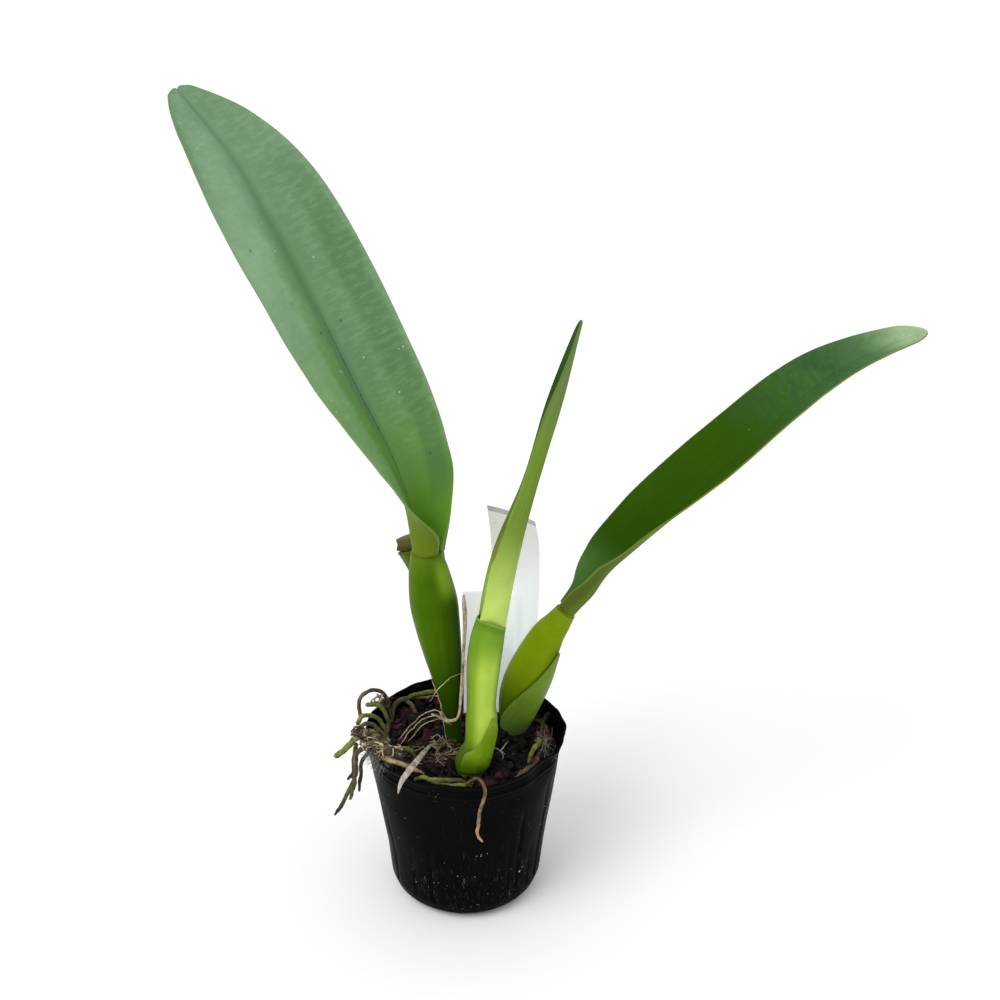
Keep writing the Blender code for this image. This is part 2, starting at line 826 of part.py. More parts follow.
def make_mix(parts, holes):
    """The filling with its bark chunks, less the plain holes that roots, growths and tags stand in."""
    draw = random.Random(SEED)
    core = turned("bark_mix", mix_section(), POT_SIDES, parts)
    bend_with_wall(core.data)
    chunks = [bark_chunk(index, draw, parts) for index in range(CHUNKS)]
    mix = fuse("bark_mix", [core] + chunks, parts)
    boolean(mix, "DIFFERENCE", holes, "MANIFOLD")
    keep_largest(mix)
    return finish(mix, material("bark", (0.030, 0.014, 0.014), 0.85))


def make_rhizome(parts):
    """The creeping stem, with a round knuckle under the foot of each growth."""
    pieces = [
        tube("rhizome_main", RHIZOME_MAIN, 0, parts, sides=10),
        tube("rhizome_lead", RHIZOME_LEAD, 0, parts, sides=10),
    ]
    for growth in (BULB_LEFT, BULB_BACK, BULB_RIGHT, SHOOT):
        foot = np.array(growth[0][:3], float)
        rise = unit(np.array(growth[1][:3]) - foot)
        radius = growth[0][3]
        knuckle = [(*(foot - rise * depth), radius) for depth in (KNUCKLE_DEPTH, KNUCKLE_GAP)]
        pieces.append(tube("knuckle", knuckle, 0, parts, sides=12, rings=2))
    rhizome = fuse("rhizome", pieces, parts)
    return finish(rhizome, material("rhizome_skin", (0.10, 0.15, 0.03), 0.6))


def make_bulbs(parts):
    green = (0.075, 0.20, 0.006)
    left = tube("pseudobulb_left", BULB_LEFT, 0, parts, sides=14, rings=18)
    finish(left, material("pseudobulb_left_skin", green, 0.35))
    right = tube("pseudobulb_right", BULB_RIGHT, 0, parts, sides=14, rings=15)
    finish(right, material("pseudobulb_right_skin", (0.16, 0.27, 0.008), 0.35))
    back = tube("pseudobulb_back", BULB_BACK, 0, parts, sides=12, rings=11, flatness=BACK_FLATNESS)
    finish(back, material("pseudobulb_back_skin", (0.07, 0.09, 0.02), 0.5))
    return left, right, back


def make_stub(parts):
    """What the cut left of the old growth's leaf: a low collar that carries on from the bulb."""
    top = np.array(BULB_BACK[-1][:3], float)
    radius = BULB_BACK[-1][3]
    rise = unit(top - np.array(BULB_BACK[-2][:3]))
    below = (*(top + rise * HOLE_GAP), radius - STUB_NARROWING[0])
    above = (*(top + rise * STUB_RISE), radius - STUB_NARROWING[1])
    ends = (below, above)
    stub = tube("leaf_stub_back", ends, 0, parts, sides=12, rings=2, flatness=BACK_FLATNESS)
    return finish(stub, material("leaf_stub_skin", (0.05, 0.06, 0.02), 0.6))


def arc_surface(growth, shape, flatness, columns, rows):
    """A part of a skin that lies round a growth, narrowing to a point at its top."""
    lowest, highest = shape["arc"][0][0], shape["arc"][-1][0]
    fractions = np.linspace(lowest, highest, rows)
    run = smooth_path(growth, fractions)
    reach = np.radians(value_along(shape["arc"], fractions))[:, None]
    across = np.linspace(-1, 1, columns)[None, :]
    angle = math.radians(shape["facing"]) + reach * across
    rise = (fractions - lowest) / (highest - lowest)
    flare = shape["flare"] * FLARE_BULGE * (1 - rise) ** 2 * rise
    skin = run[:, 3] + shape["offset"] + shape["thickness"] + flare
    tangent = unit(np.gradient(run[:, :3], axis=0))
    sideways = unit(np.cross(np.array([0, 1.0, 0]), tangent))
    forward = np.cross(tangent, sideways)
    out = sideways[:, None] * np.cos(angle)[..., None] + forward[:, None] * np.sin(angle)[..., None]
    points = run[:, None, :3] + out * skin[:, None, None]
    points[..., 1] = run[:, None, 1] + (points[..., 1] - run[:, None, 1]) * flatness
    return points


def make_clasping(name, growth, shape, look, parts, flatness=1.0, rows=9):
    """A thin sheath that clasps a growth with a small gap under it."""
    points = arc_surface(growth, shape, flatness, SHEATH_COLUMNS, rows)
    made = object_of(grid_mesh(name, points), name, parts)
    thicken(made, shape["thickness"])
    return finish(made, look)


def make_shoot(parts, cutters):
    """The young growth, with a mouth cut in its top for the folded leaf."""
    shoot = tube("shoot_centre", SHOOT, 0, parts, sides=14, rings=19, flatness=SHOOT_FLATNESS)
    young = leaf("leaf_centre", LEAF_CENTRE, YOUNG_COLUMNS, parts)
    inside = [np.array(vertex.co) / MM for vertex in young.data.vertices]
    low = [point for point in inside if point[2] < SHOOT[-1][2] + MOUTH_MARGIN]
    middle = np.mean(low, axis=0)
    grown = []
    for point in low:
        axis = (middle[0] + (point[2] - middle[2]) * MOUTH_LEAN, middle[1], point[2])
        out = point - np.array(axis)
        out = out / max(np.linalg.norm(out), 0.1)
        grown.append(point + out * MOUTH_GAP - np.array([0, 0, GAP]))
    mouth = hull_of("shoot_mouth", grown, cutters)
    boolean(shoot, "DIFFERENCE", [mouth])
    finish(shoot, material("shoot_skin", (0.19, 0.39, 0.028), 0.35))
    finish(young, material("leaf_centre_skin", (0.22, 0.40, 0.06), 0.38))
    return shoot


def make_roots(name, paths, look, parts, tangle=()):
    """Roots or fibres that cross one another, as one piece, with round lumps for a tangle of fine ones."""
    pieces = []
    for index, (radius, points) in enumerate(paths):
        pieces.append(tube(f"{name}_{index}", points, radius, parts, tip=ROOT_TIP, sides=6))
    for index, (middle, half) in enumerate(tangle):
        work = bmesh.new()
        bmesh.ops.create_icosphere(work, subdivisions=1, radius=1)
        for vertex in work.verts:
            vertex.co = Vector([(m + h * c) * MM for m, h, c in zip(middle, half, vertex.co)])
        mesh = bpy.data.meshes.new(f"{name}_tangle_{index}")
        work.to_mesh(mesh)
        work.free()
        pieces.append(object_of(mesh, mesh.name, parts))
    return finish(fuse(name, pieces, parts), look)


def make_dry_blade(look, parts):
    """A narrow dry blade that lies from the left growth's foot out over the rim."""
    fractions = np.linspace(0, 1, DRY_ROWS)
    path = smooth_path(DRY_BLADE["midrib"], fractions)
    tangent = unit(np.gradient(path, axis=0))
    flat = unit(np.cross(tangent, np.array(DRY_LEAN)))
    half = value_along(DRY_BLADE["half"], fractions)[:, None]
    across = np.asarray(DRY_COLUMNS, float)[None, :]
    points = path[:, None] + flat[:, None] * (across * half)[..., None]
    points[..., 2] -= DRY_CROWN * across**2
    made = object_of(grid_mesh("dry_sheath_blade", points), "dry_sheath_blade", parts)
    thicken(made, DRY_BLADE["thickness"])
    return finish(made, look)


def make_tag(name, shape, look, parts):
    """A blank plastic tag between its two edges, bowed a little towards the back."""
    fractions = np.linspace(0, 1, TAG_GRID[0])
    left = smooth_path(shape["left"], fractions)
    right = smooth_path(shape["right"], fractions)
    across = np.linspace(0, 1, TAG_GRID[1])[None, :, None]
    points = left[:, None] * (1 - across) + right[:, None] * across
    points[..., 1] += shape["bow"] * (4 * across * (1 - across))[..., 0]
    made = object_of(grid_mesh(name, points), name, parts)
    thicken(made, TAG_THICKNESS)
    return finish(made, look)


def main():
    clear_scene()
    parts = new_collection("cattleya_orchid")
    cutters = new_collection("cutters")
    make_pot(parts, cutters)
    rhizome = make_rhizome(parts)
    left, right, back = make_bulbs(parts)
    make_stub(parts)
    shoot = make_shoot(parts, cutters)
    pale = material("leaf_left_skin", (0.16, 0.32, 0.15), 0.42)
    dark = material("leaf_right_skin", (0.035, 0.13, 0.02), 0.42)
    finish(leaf("leaf_left", LEAF_LEFT, LEAF_COLUMNS, parts), pale)
    finish(leaf("leaf_right", LEAF_RIGHT, LEAF_COLUMNS, parts), dark)
    sheath_look = material("sheath_right_skin", (0.12, 0.20, 0.03), 0.45)
    bract_look = material("bract_skin", (0.16, 0.34, 0.03), 0.4)
    sheath = make_clasping("sheath_right", BULB_RIGHT, SHEATH_RIGHT, sheath_look, parts)
    bract = make_clasping("bract_centre", SHOOT, BRACT, bract_look, parts, SHOOT_FLATNESS)
    root_look = material("root_skin", (0.20, 0.21, 0.07), 0.7)
    roots = [
        make_roots("roots_left", ROOTS_LEFT, root_look, parts, ROOT_TANGLE),
        make_roots("roots_back", ROOTS_BACK, root_look, parts),
        make_roots("roots_front", ROOTS_FRONT, root_look, parts),
        make_roots("roots_right", ROOTS_RIGHT, root_look, parts),
    ]
    dry_look = material("dry_sheath", (0.38, 0.30, 0.18), 0.8)
    strand = make_roots("dry_sheath_strand", STRAND, dry_look, parts)
    dry = make_dry_blade(dry_look, parts)
    tag_look = material("tag_plastic", (0.78, 0.79, 0.80), 0.45)
    tags = [
        make_tag("tag_tall", TAG_TALL, tag_look, parts),
        make_tag("tag_short", TAG_SHORT, tag_look, parts),
    ]
    standing = [rhizome, left, right, back, shoot, sheath, bract, strand, dry] + roots + tags
    make_mix(parts, [swollen(piece, HOLE_GAP, cutters) for piece in standing])


main()
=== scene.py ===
"""Potted cattleya orchid: the finished surfaces, colours and stage round the packed solids.

Tables are in millimetres in the row's frame, as in the part's source, and MM turns them into metres.
"""

import math

import bpy
import numpy as np
from bpy.props import FloatProperty, FloatVectorProperty, IntProperty, PointerProperty
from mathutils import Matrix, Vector


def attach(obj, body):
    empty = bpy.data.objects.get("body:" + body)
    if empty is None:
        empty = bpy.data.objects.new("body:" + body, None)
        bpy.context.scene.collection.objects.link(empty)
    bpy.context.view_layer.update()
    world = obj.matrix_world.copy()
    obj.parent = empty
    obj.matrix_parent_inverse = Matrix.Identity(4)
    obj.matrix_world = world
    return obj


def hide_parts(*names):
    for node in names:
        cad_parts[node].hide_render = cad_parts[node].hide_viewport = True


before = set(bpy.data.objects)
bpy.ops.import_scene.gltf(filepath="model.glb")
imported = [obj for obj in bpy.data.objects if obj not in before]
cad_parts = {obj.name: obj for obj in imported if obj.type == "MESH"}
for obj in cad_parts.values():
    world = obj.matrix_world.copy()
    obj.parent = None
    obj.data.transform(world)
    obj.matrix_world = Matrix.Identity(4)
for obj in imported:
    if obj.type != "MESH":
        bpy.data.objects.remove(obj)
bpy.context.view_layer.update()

bl_info = {
    "name": "Potted cattleya orchid",
    "version": (1, 0, 0),
    "blender": (4, 5, 0),
    "location": "3D View > Sidebar > Orchid",
    "description": "Builds the detailed surfaces of a potted cattleya orchid round its packed solids",
    "category": "Object",
}

MM = 0.001
BODY = "root"

# Pot
RIM_HEIGHT = 95.0
RIM_WAVE_START = 70.0  # the wall is bent outwards or inwards above this height
RIM_BENDS = (  # (direction in degrees, push outwards, half angle of the bend)
    (8, 1.6, 20), (30, -1.0, 16), (-38, -2.6, 15), (-80, 1.2, 26), (150, -0.8, 30),
    (-10, -0.7, 7), (2, 0.4, 6), (13, -0.5, 7), (-24, 0.7, 8), (46, 0.5, 8),
)
RIM_RINGS = ((90.4, 0.22, 0.5), (86.8, 0.3, 0.5), (83.6, 0.16, 0.4))  # (height, depth, half height)
POT_OUTSIDE = (  # (height, radius) from the flat base up to the rim
    (0.0, 31.0), (1.1, 35.6), (4.2, 38.7), (9.5, 40.6), (28.0, 42.5), (60.0, 47.0),
    (85.0, 50.4), (87.0, 50.95), (89.0, 50.6), (92.0, 51.1), (94.2, 52.5), (95.0, 52.3),
)
POT_FLOOR = (1.0, 12.0, 28.0)  # radii of the rings across the flat floor and base
FLUTES = (  # folds pressed into the soft wall: (direction in degrees, depth, half width in degrees, top)
    (-150, 0.5, 1.7, 62), (-128, 0.35, 1.3, 48), (-113, 0.7, 1.9, 55), (-94, 0.5, 1.5, 46),
    (-84, 0.35, 1.2, 70), (-77, 0.85, 1.6, 80), (-58, 0.6, 1.5, 58), (-50, 0.8, 1.5, 74),
    (-38, 0.5, 1.4, 44), (-26, 0.8, 2.0, 84), (-8, 0.5, 1.6, 60), (14, 0.7, 1.8, 52),
    (40, 0.6, 1.6, 66), (66, 0.7, 1.8, 50), (92, 0.5, 1.4, 58), (118, 0.8, 1.8, 54),
    (143, 0.5, 1.5, 62), (170, 0.7, 1.8, 57), (-172, 0.4, 1.4, 45),
)
DRAIN_HOLES, DRAIN_RADIUS, DRAIN_CIRCLE = 6, 4.0, 20.0

# Bark: the bed's (radius, height) up its side, and the chips' ranges of length, width and height
BED_SIDE = ((1.0, 2.0), (28.0, 2.0), (36.0, 6.2), (38.4, 11), (40.2, 28), (44.6, 60), (47.6, 80), (47.8, 82))
BED_TOP = 83.2
CHIP_ROOM = 48.4  # no chip reaches further out than this
LARGE_CHIP = {"sizes": ((7, 15), (5, 9), (2.6, 5.5)), "across": 16, "along": 9, "seed": 21, "level": 84.6}
SMALL_CHIP = {"sizes": ((2, 5), (1.6, 3.6), (1.2, 2.6)), "across": 8, "along": 4, "seed": 22, "level": 85.8}

# Growths: centreline points with a radius
RHIZOME_MAIN = (
    (-9, 24, 80, 4.2), (-6, 13, 81, 4.6), (-5, 2, 80, 4.8), (8, -1, 80, 4.6), (20, 8, 79, 4.8),
    (27, 13, 78, 4.4),
)
RHIZOME_LEAD = ((8, -1, 80, 4.4), (5, -12, 80.5, 4.6), (2.5, -22, 80, 4.6))
BULB_LEFT = (
    (-5.3, 1, 85.5, 3.9), (-6.5, 1, 103, 4.6), (-8, 1, 119, 6.6), (-10.5, 2, 137, 9.6),
    (-13, 2, 154.5, 11.4), (-15, 3, 169, 12.0), (-17, 3, 185, 10.2), (-17.8, 3, 193.5, 8.3),
    (-18, 3, 197.8, 7.5),
)
BULB_BACK = (
    (-6, 18, 86, 4.2), (-6.1, 18.1, 92, 4.5), (-7.5, 20.5, 104, 5.6), (-11, 23, 130, 7.2),
    (-15, 25, 158, 8.4), (-19, 26, 176, 9.8), (-22.5, 27, 188, 12.3),
)
STUB_BACK = ((-22.7, 27, 188.5, 12.2), (-24.4, 27.5, 194.4, 10.9))
BULB_RIGHT = (
    (26, 12, 84, 5.5), (26.5, 11.5, 95, 8.5), (29.5, 10.5, 110, 11.0), (34.5, 10, 124, 11.3),
    (42.5, 11, 142.5, 8.9), (48.5, 11.5, 151.5, 6.8), (53, 12, 158.4, 5.2),
)
SHOOT = (
    (3.0, -29, 84.5, 4.5), (3.4, -29, 88, 7.0), (4.2, -28.5, 94, 8.2), (7.6, -27, 103, 7.0),
    (9.4, -27, 117, 7.9), (9.4, -27, 128, 7.3), (10.5, -26, 148, 8.4), (12.2, -26, 162, 8.4),
    (14.6, -26, 174.4, 7.4),
)
SHOOT_LENGTH, SHOOT_DEPTH, SHOOT_WALL = 89.0, 24.0, 0.9  # its line, and the mouth's depth and wall
BACK_FLATNESS = 0.5
SHOOT_FLATNESS = 0.8
BULB_FACING, SHOOT_FACING = 0.75, 0.775  # the place round the ring that looks forward

# Sheaths: the arc's half angle in degrees at fractions of the stalk, the side it faces, and its flare
SHEATH_RIGHT = {
    "arc": ((0.02, 125), (0.14, 112), (0.3, 88), (0.46, 62), (0.62, 30), (0.72, 7)),
    "facing": -28.0,
    "flare": 2.2,
}
BRACT = {
    "arc": ((0.06, 80), (0.14, 84), (0.2, 62), (0.26, 42), (0.34, 26), (0.41, 6)),
    "facing": -46.0,
    "flare": 0.8,
}

# Leaves: a midrib line, and stations along it as (fraction of the length, value), with angles in degrees
LEAF_LEFT = {
    "midrib": ((-18.6, 3, 196.9), (-23.5, 4, 215), (-33, 7, 244.5), (-51, 15, 280.5), (-75, 28, 328),
        (-105, 44, 380.5), (-133.2, 59, 412)),
    "half": ((0, 9.8), (0.08, 20.3), (0.2, 29.2), (0.4, 33.2), (0.6, 33.2), (0.8, 29.0), (0.93, 17.8),
        (0.98, 10.4), (1, 6.3)),
    "fold": ((0, 108), (0.08, 58), (0.2, 50), (0.4, 35), (1, 6)),
    "turn": ((0, -20), (0.07, -14), (0.13, -21), (0.21, -29.5), (0.5, -26), (1, -15)),
    "thickness": ((0, 5.6), (0.04, 4.2), (0.08, 2.6), (0.25, 1.7), (1, 1.4)),
    "notch": 1.0,
    "tip": (0.006, 0.7),
    "crease": 2.2,
    "keel": ((0, 0.4), (0.15, 1.0), (0.6, 0.6), (1, 0.1)),
    "wave": 0.45,
}
LEAF_RIGHT = {
    "midrib": ((53.4, 12, 157.8), (63.5, 13, 167.5), (73, 16, 180), (90.5, 22, 194.5), (130, 28, 230.5),
        (181, 34, 278), (228, 40, 300)),
    "half": ((0, 7.2), (0.06, 11.2), (0.18, 19.2), (0.4, 26.2), (0.65, 28.4), (0.85, 22.4), (0.95, 17.5),
        (0.985, 14), (1, 12)),
    "fold": ((0, 84), (0.12, 50), (0.3, 34), (1, 8)),
    "turn": ((0, -17), (0.3, 6), (0.6, 2), (1, -7)),
    "thickness": ((0, 3.6), (0.03, 2.5), (0.08, 1.9), (0.25, 1.6), (1, 1.3)),
    "notch": 0.0,
    "tip": (0.045, 0.1),
    "crease": 2.2,
    "keel": ((0, 0.3), (0.15, 0.8), (0.6, 0.6), (1, 0.1)),
    "wave": 0.4,
}
LEAF_CENTRE = {
    "midrib": ((16, -26, 152), (20, -25, 172), (24.5, -23, 198), (33, -19.5, 235.5), (46, -16, 282.5),
        (55, -12, 321)),
    "half": ((0, 10.5), (0.12, 13.4), (0.3, 12.7), (0.52, 7.6), (0.77, 7.1), (0.93, 3.4), (1, 1.3)),
    "fold": ((0, 94), (0.5, 89), (1, 75)),
    "turn": ((0, -13), (0.5, -18), (1, -10)),
    "thickness": ((0, 1.3), (1, 1.0)),
    "notch": 0.0,
    "tip": (0.03, 0.15),
    "crease": 2.6,
    "keel": ((0, 0.2), (1, 0.1)),
    "wave": 0.15,
}

# Roots: (radius, colour at the start, colour at the tip, points)
ROOTS_LEFT = (
    (1.6, "fresh", "fresh", ((-67, -8, 82.5), (-62.5, -8, 86.5), (-58, -8, 92), (-52.5, -9, 97.8),
        (-45, -13, 97.8), (-36, -16, 90))),
    (1.2, "olive", "dark", ((-56.5, -9, 90), (-58, -9, 80), (-58.5, -9, 72), (-61.5, -9, 68.5))),
    (1.3, "dry", "olive", ((-50, -19, 96.5), (-55.5, -18, 90), (-56.5, -17, 79), (-58, -16, 69.5),
        (-60, -16, 61))),
    (1.1, "olive", "dark", ((-57.5, -16, 73), (-61.5, -15, 64), (-64.5, -14, 56.5), (-69, -13, 48.5))),
    (1.0, "dark", "dark", ((-48, -24, 96.5), (-52, -25, 90), (-53, -25.5, 82), (-54, -26, 73.5))),
    (1.1, "dry", "dark", ((-57, 23, 86), (-58, 24, 92), (-57, 25, 97.5), (-52, 26.5, 100.5),
        (-46.5, 28, 99.5), (-42, 24, 95.5), (-40.5, 16, 90))),
    (1.2, "fresh", "olive", ((-52.5, 17, 97.8), (-47, 17, 97.8), (-43.5, 16, 94), (-41, 13, 89))),
    (1.2, "fresh", "olive", ((-56.5, 4, 94.5), (-54, 6, 97.8), (-48, 7, 97.2), (-43.5, 6, 92),
        (-41, 2, 88))),
    (1.1, "olive", "dry", ((-58, -3, 92.5), (-53, -1, 97), (-48, 0, 96), (-43, -1, 91), (-40, -4, 87))),
    (1.3, "dry", "dry", ((-40.5, 18, 89), (-41.5, 6, 87.5), (-40, -6, 87), (-38, -17, 89),
        (-36, -26, 92))),
    (1.3, "fresh", "olive", ((-38, -15, 88.5), (-32, -13.5, 90.5), (-28, -14, 90), (-24.5, -16, 86.5))),
    (1.2, "pale", "pale", ((-40, -31, 96.8), (-33, -33.5, 96), (-27, -32, 92), (-20, -31, 87))),
)
ROOTS_BACK = (
    (1.3, "olive", "fresh", ((-40.5, 19, 86), (-39, 25, 91), (-36.5, 29, 92.5), (-31.5, 33.5, 92),
        (-26, 38.5, 91), (-17.5, 43, 89.5), (-11.5, 44.5, 85))),
    (1.0, "dry", "pale", ((-29.5, 36, 90), (-24, 38.5, 88.5), (-16, 40, 88), (-10, 41, 84))),
    (1.2, "olive", "dry", ((-33, 32, 91), (-29, 29, 89), (-27, 26, 85))),
)
ROOTS_FRONT = (
    (1.2, "fresh", "olive", ((-25, -36, 87), (-20.5, -39.5, 91), (-14.5, -42.5, 92), (-8, -43, 92),
        (-1, -42, 91), (4, -42.5, 88))),
    (1.0, "olive", "fresh", ((-17, -41.5, 91), (-11, -45.5, 91.5), (-2, -46.8, 91.5), (5, -46.3, 92.5))),
    (0.85, "dry", "pale", ((1, -46.6, 91.8), (6, -48, 96.2), (9, -51.5, 98.2), (11.4, -56.2, 96.5),
        (10.6, -56.2, 90), (9, -55.5, 84), (7.8, -54.8, 74), (7.6, -54, 66.5), (9.8, -53.6, 62.5))),
)
ROOTS_RIGHT = (
    (1.3, "fresh", "fresh", ((37.5, 2, 85), (39, -3, 89), (38.5, -8, 90), (35.5, -14.5, 90),
        (33.5, -19, 86))),
    (1.2, "olive", "dark", ((40.5, 8, 84), (41.5, 13, 88.5), (44, 15.5, 92.5), (45, 14, 93.5))),
    (1.0, "dark", "dry", ((33, 18, 85), (38.5, 16, 88.5), (43, 11, 88), (44, 6, 85))),
    (1.4, "dry", "olive", ((27, -35, 86.5), (30.5, -33, 90), (34.5, -30, 90.5), (36, -26, 87),
        (38.5, -14, 86), (40, -2, 86), (41, 10, 86))),
)
TANGLE = (  # (middle, half sizes, fibres) of the dry tangles
    ((-38, -25, 96.5), (7, 6, 4.5), 30),
    ((-44.5, -21, 98.3), (7.5, 6, 4), 42),
    ((-50, -15, 98.6), (6.5, 6, 3.4), 34),
    ((-54.5, -10, 98.4), (4.5, 5, 2.8), 20),
    ((-41, -29, 98.2), (5, 4.5, 2.8), 18),
    ((-46, 22, 96.5), (5, 6, 4), 14),
)
STRAND = (  # (radius, fibres, points) of the frayed strand and of its loop
    (1.0, 9, ((0.2, 0.8, 173), (0.7, 0.2, 160), (0.4, -1.4, 147.5), (-0.5, -2.8, 130), (-1.6, -3.8, 115),
        (-2.4, -4.4, 107), (-4.2, -5.8, 103.6), (-7.8, -6.2, 103), (-11.2, -4.6, 104.2),
        (-12.6, -1.2, 105))),
    (0.7, 5, ((-3.2, -5, 103.9), (-7.8, -6.6, 103.2), (-12.4, -6.6, 105.5), (-17, -7.8, 108))),
)
THIN_FIBRES = (  # (radius, points) of single fibres round the left pseudobulb and on the bark
    (0.24, ((-7.8, -7.5, 103), (-12.3, -8.5, 110.3), (-18.5, -9.5, 110.4), (-26.8, -11, 104),
        (-33.6, -13, 95.6))),
    (0.22, ((-8.8, -7.5, 102), (-14.4, -8.8, 107.5), (-20.6, -10, 106.4), (-27.9, -11.5, 100.1),
        (-33.1, -14, 93.1))),
    (0.18, ((-6, -7.2, 101), (-13, -9, 105.5), (-21, -10.4, 103), (-29, -13, 95))),
    (0.18, ((-0.9, -4, 130.4), (-6.9, -7.8, 129.6), (-13.7, -7.4, 122.1), (-17.4, -8, 115.5))),
    (0.24, ((-17.6, -6, 132.8), (-14.3, -6.5, 120.6), (-11.9, -6, 111.1), (-11, -6, 103.2),
        (-9.2, -6, 87.7))),
    (0.2, ((0.1, -2, 176.4), (0.6, -3, 166.4), (0.2, -3.2, 152), (0.8, -3.6, 140), (0, -4.4, 118))),
    (0.26, ((15.6, -16, 93.3), (18.6, -14.5, 90), (22.8, -13, 86))),
    (0.22, ((18.6, -14.5, 90), (21.2, -12, 91.6), (22.8, -11, 93.6))),
    (0.22, ((18.6, -14.5, 90), (20.2, -15.5, 87), (19.2, -17, 83.5))),
)
DRY_BLADE = {
    "midrib": ((-17.5, -9.5, 90.6), (-20.5, -21, 93.8), (-23.5, -33, 96.6), (-27, -43, 97.5),
        (-30.2, -48.6, 95.3), (-31.9, -51.2, 90)),
    "half": ((0, 0.8), (0.3, 1.3), (0.6, 1.6), (0.85, 1.3), (1, 0.25)),
    "thickness": 0.6,
    "lean": (0.35, 0, 1.0),
}

# Blank tags: left and right edge from the foot to the top, and how far the middle bows back
TAG_TALL = {
    "left": ((16.5, 33.5, 76), (15.5, 32.5, 120), (14.6, 31.5, 160), (14, 31, 188.5), (12, 30.5, 209.5)),
    "right": ((36, 27.5, 76), (37.5, 27.5, 120), (39.2, 28.2, 160), (39, 28.8, 186.5),
        (36.8, 28.5, 200.8)),
    "bow": 2.4,
}
TAG_SHORT = {
    "left": ((-1.2, 24, 76), (-0.8, 24, 120), (-0.5, 24, 162.5)),
    "right": ((25.5, 25.6, 76), (25.9, 25.6, 120), (26.2, 25.6, 162)),
    "bow": 1.0,
}


def colour(red, green, blue):
    """Linear values of a screen colour from 0 to 255: the curve that screens use, undone."""
    screen = np.array([red, green, blue]) / 255
    linear = np.where(screen <= 0.04045, screen / 12.92, ((screen + 0.055) / 1.055) ** 2.4)
    return tuple(float(c) for c in linear)


ROOT_COLOURS = {
    "fresh": colour(134, 142, 62),
    "olive": colour(88, 92, 44),
    "dry": colour(112, 92, 68),
    "pale": colour(200, 172, 134),
    "dark": colour(44, 38, 30),
}


# Curves and surfaces


def unit(vectors):
    """Vectors divided by their own lengths."""
    return vectors / np.maximum(np.linalg.norm(vectors, axis=-1, keepdims=True), 1e-12)


def round_steps(count):
    """Angles of that many even steps round a circle, from 0."""
    return np.arange(count) * math.tau / count


def smooth_path(points, fractions, steps=24):
    """A Catmull-Rom curve through the points, read at fractions of its length by straight interpolation."""
    ends = np.asarray(points, float)
    ends = np.vstack([2 * ends[0] - ends[1], ends, 2 * ends[-1] - ends[-2]])
    t = np.linspace(0, 1, steps, endpoint=False)[:, None]
    runs = []
    for before, start, end, after in zip(ends[:-3], ends[1:-2], ends[2:-1], ends[3:]):
        linear = (end - before) * t
        square = (2 * before - 5 * start + 4 * end - after) * t**2
        cube = (3 * start - before - 3 * end + after) * t**3
        runs.append(0.5 * (2 * start + linear + square + cube))
    fine = np.vstack(runs + [ends[-2:-1]])
    lengths = np.linalg.norm(np.diff(fine[:, :3], axis=0), axis=1)
    along = np.concatenate([[0], np.cumsum(lengths)])
    wanted = np.asarray(fractions) * along[-1]
    return np.stack([np.interp(wanted, along, column) for column in fine.T], axis=-1)


def value_along(stations, fractions):
    """Cubic Hermite interpolation through (fraction, value) stations, level at every peak and dip."""
    stations = np.asarray(stations, float)
    x, y = stations[:, 0], stations[:, 1]
    slope = np.gradient(y, x)
    rise = np.diff(y) / np.diff(x)
    slope[1:-1] = np.where(rise[:-1] * rise[1:] <= 0, 0, slope[1:-1])
    k = np.clip(np.searchsorted(x, fractions, side="right") - 1, 0, len(x) - 2)
    width = x[k + 1] - x[k]
    t = np.clip((fractions - x[k]) / width, 0, 1)
    start = (1 + 2 * t) * (1 - t) ** 2 * y[k] + t * (1 - t) ** 2 * width * slope[k]
    end = t * t * (3 - 2 * t) * y[k + 1] + t * t * (t - 1) * width * slope[k + 1]
    return start + end


def ripple(places, size, seed, waves=7):
    """Smooth noise from -1 to 1: the mean of sines whose wave vectors point at random, one wave per
    size."""
    draw = np.random.default_rng(seed)
    gain = 1.6  # brings the mean of the sines back to about -1 to 1
    vectors = unit(draw.normal(size=(waves, places.shape[-1]))) * draw.uniform(0.6, 1.6, (waves, 1))
    phases = draw.uniform(0, math.tau, waves)
    return np.sin(places @ vectors.T * (math.tau / size) + phases).mean(axis=-1) * gain


def shaken(path, size, seed, amount):
    """A path moved by smooth noise along each axis, which dies out at its first point."""
    shake = np.stack([ripple(path, size, seed * 3 + axis) for axis in range(3)], axis=-1)
    rise = np.clip(np.linspace(0, 4, path.shape[-2]), 0, 1)[:, None]
    return path + shake * amount * rise


def rounded_margin(across, start):
    """1 over a blade, falling to 0 at its margins as a quarter circle does, from the start of the margin
    on."""
    return np.sqrt(np.clip(1 - ((np.abs(across) - start) / (1 - start)).clip(0) ** 2, 0, 1))


def frames_along(paths):
    """Tangent, side and lift of each point of each path (k, n, 3), from the axis that the path crosses
    best."""
    tangent = unit(np.gradient(paths, axis=1))
    axes = unit(np.array([[0, 1, 0], [1, 0, 0], [0, 0, 1], [1, 1, 0], [0, 1, 1], [1, 0, 1.0]]))
    worst = np.abs(tangent @ axes.T).max(axis=1)
    reference = axes[worst.argmin(axis=1)][:, None]
    side = unit(np.cross(reference, tangent))
    return tangent, side, np.cross(tangent, side)


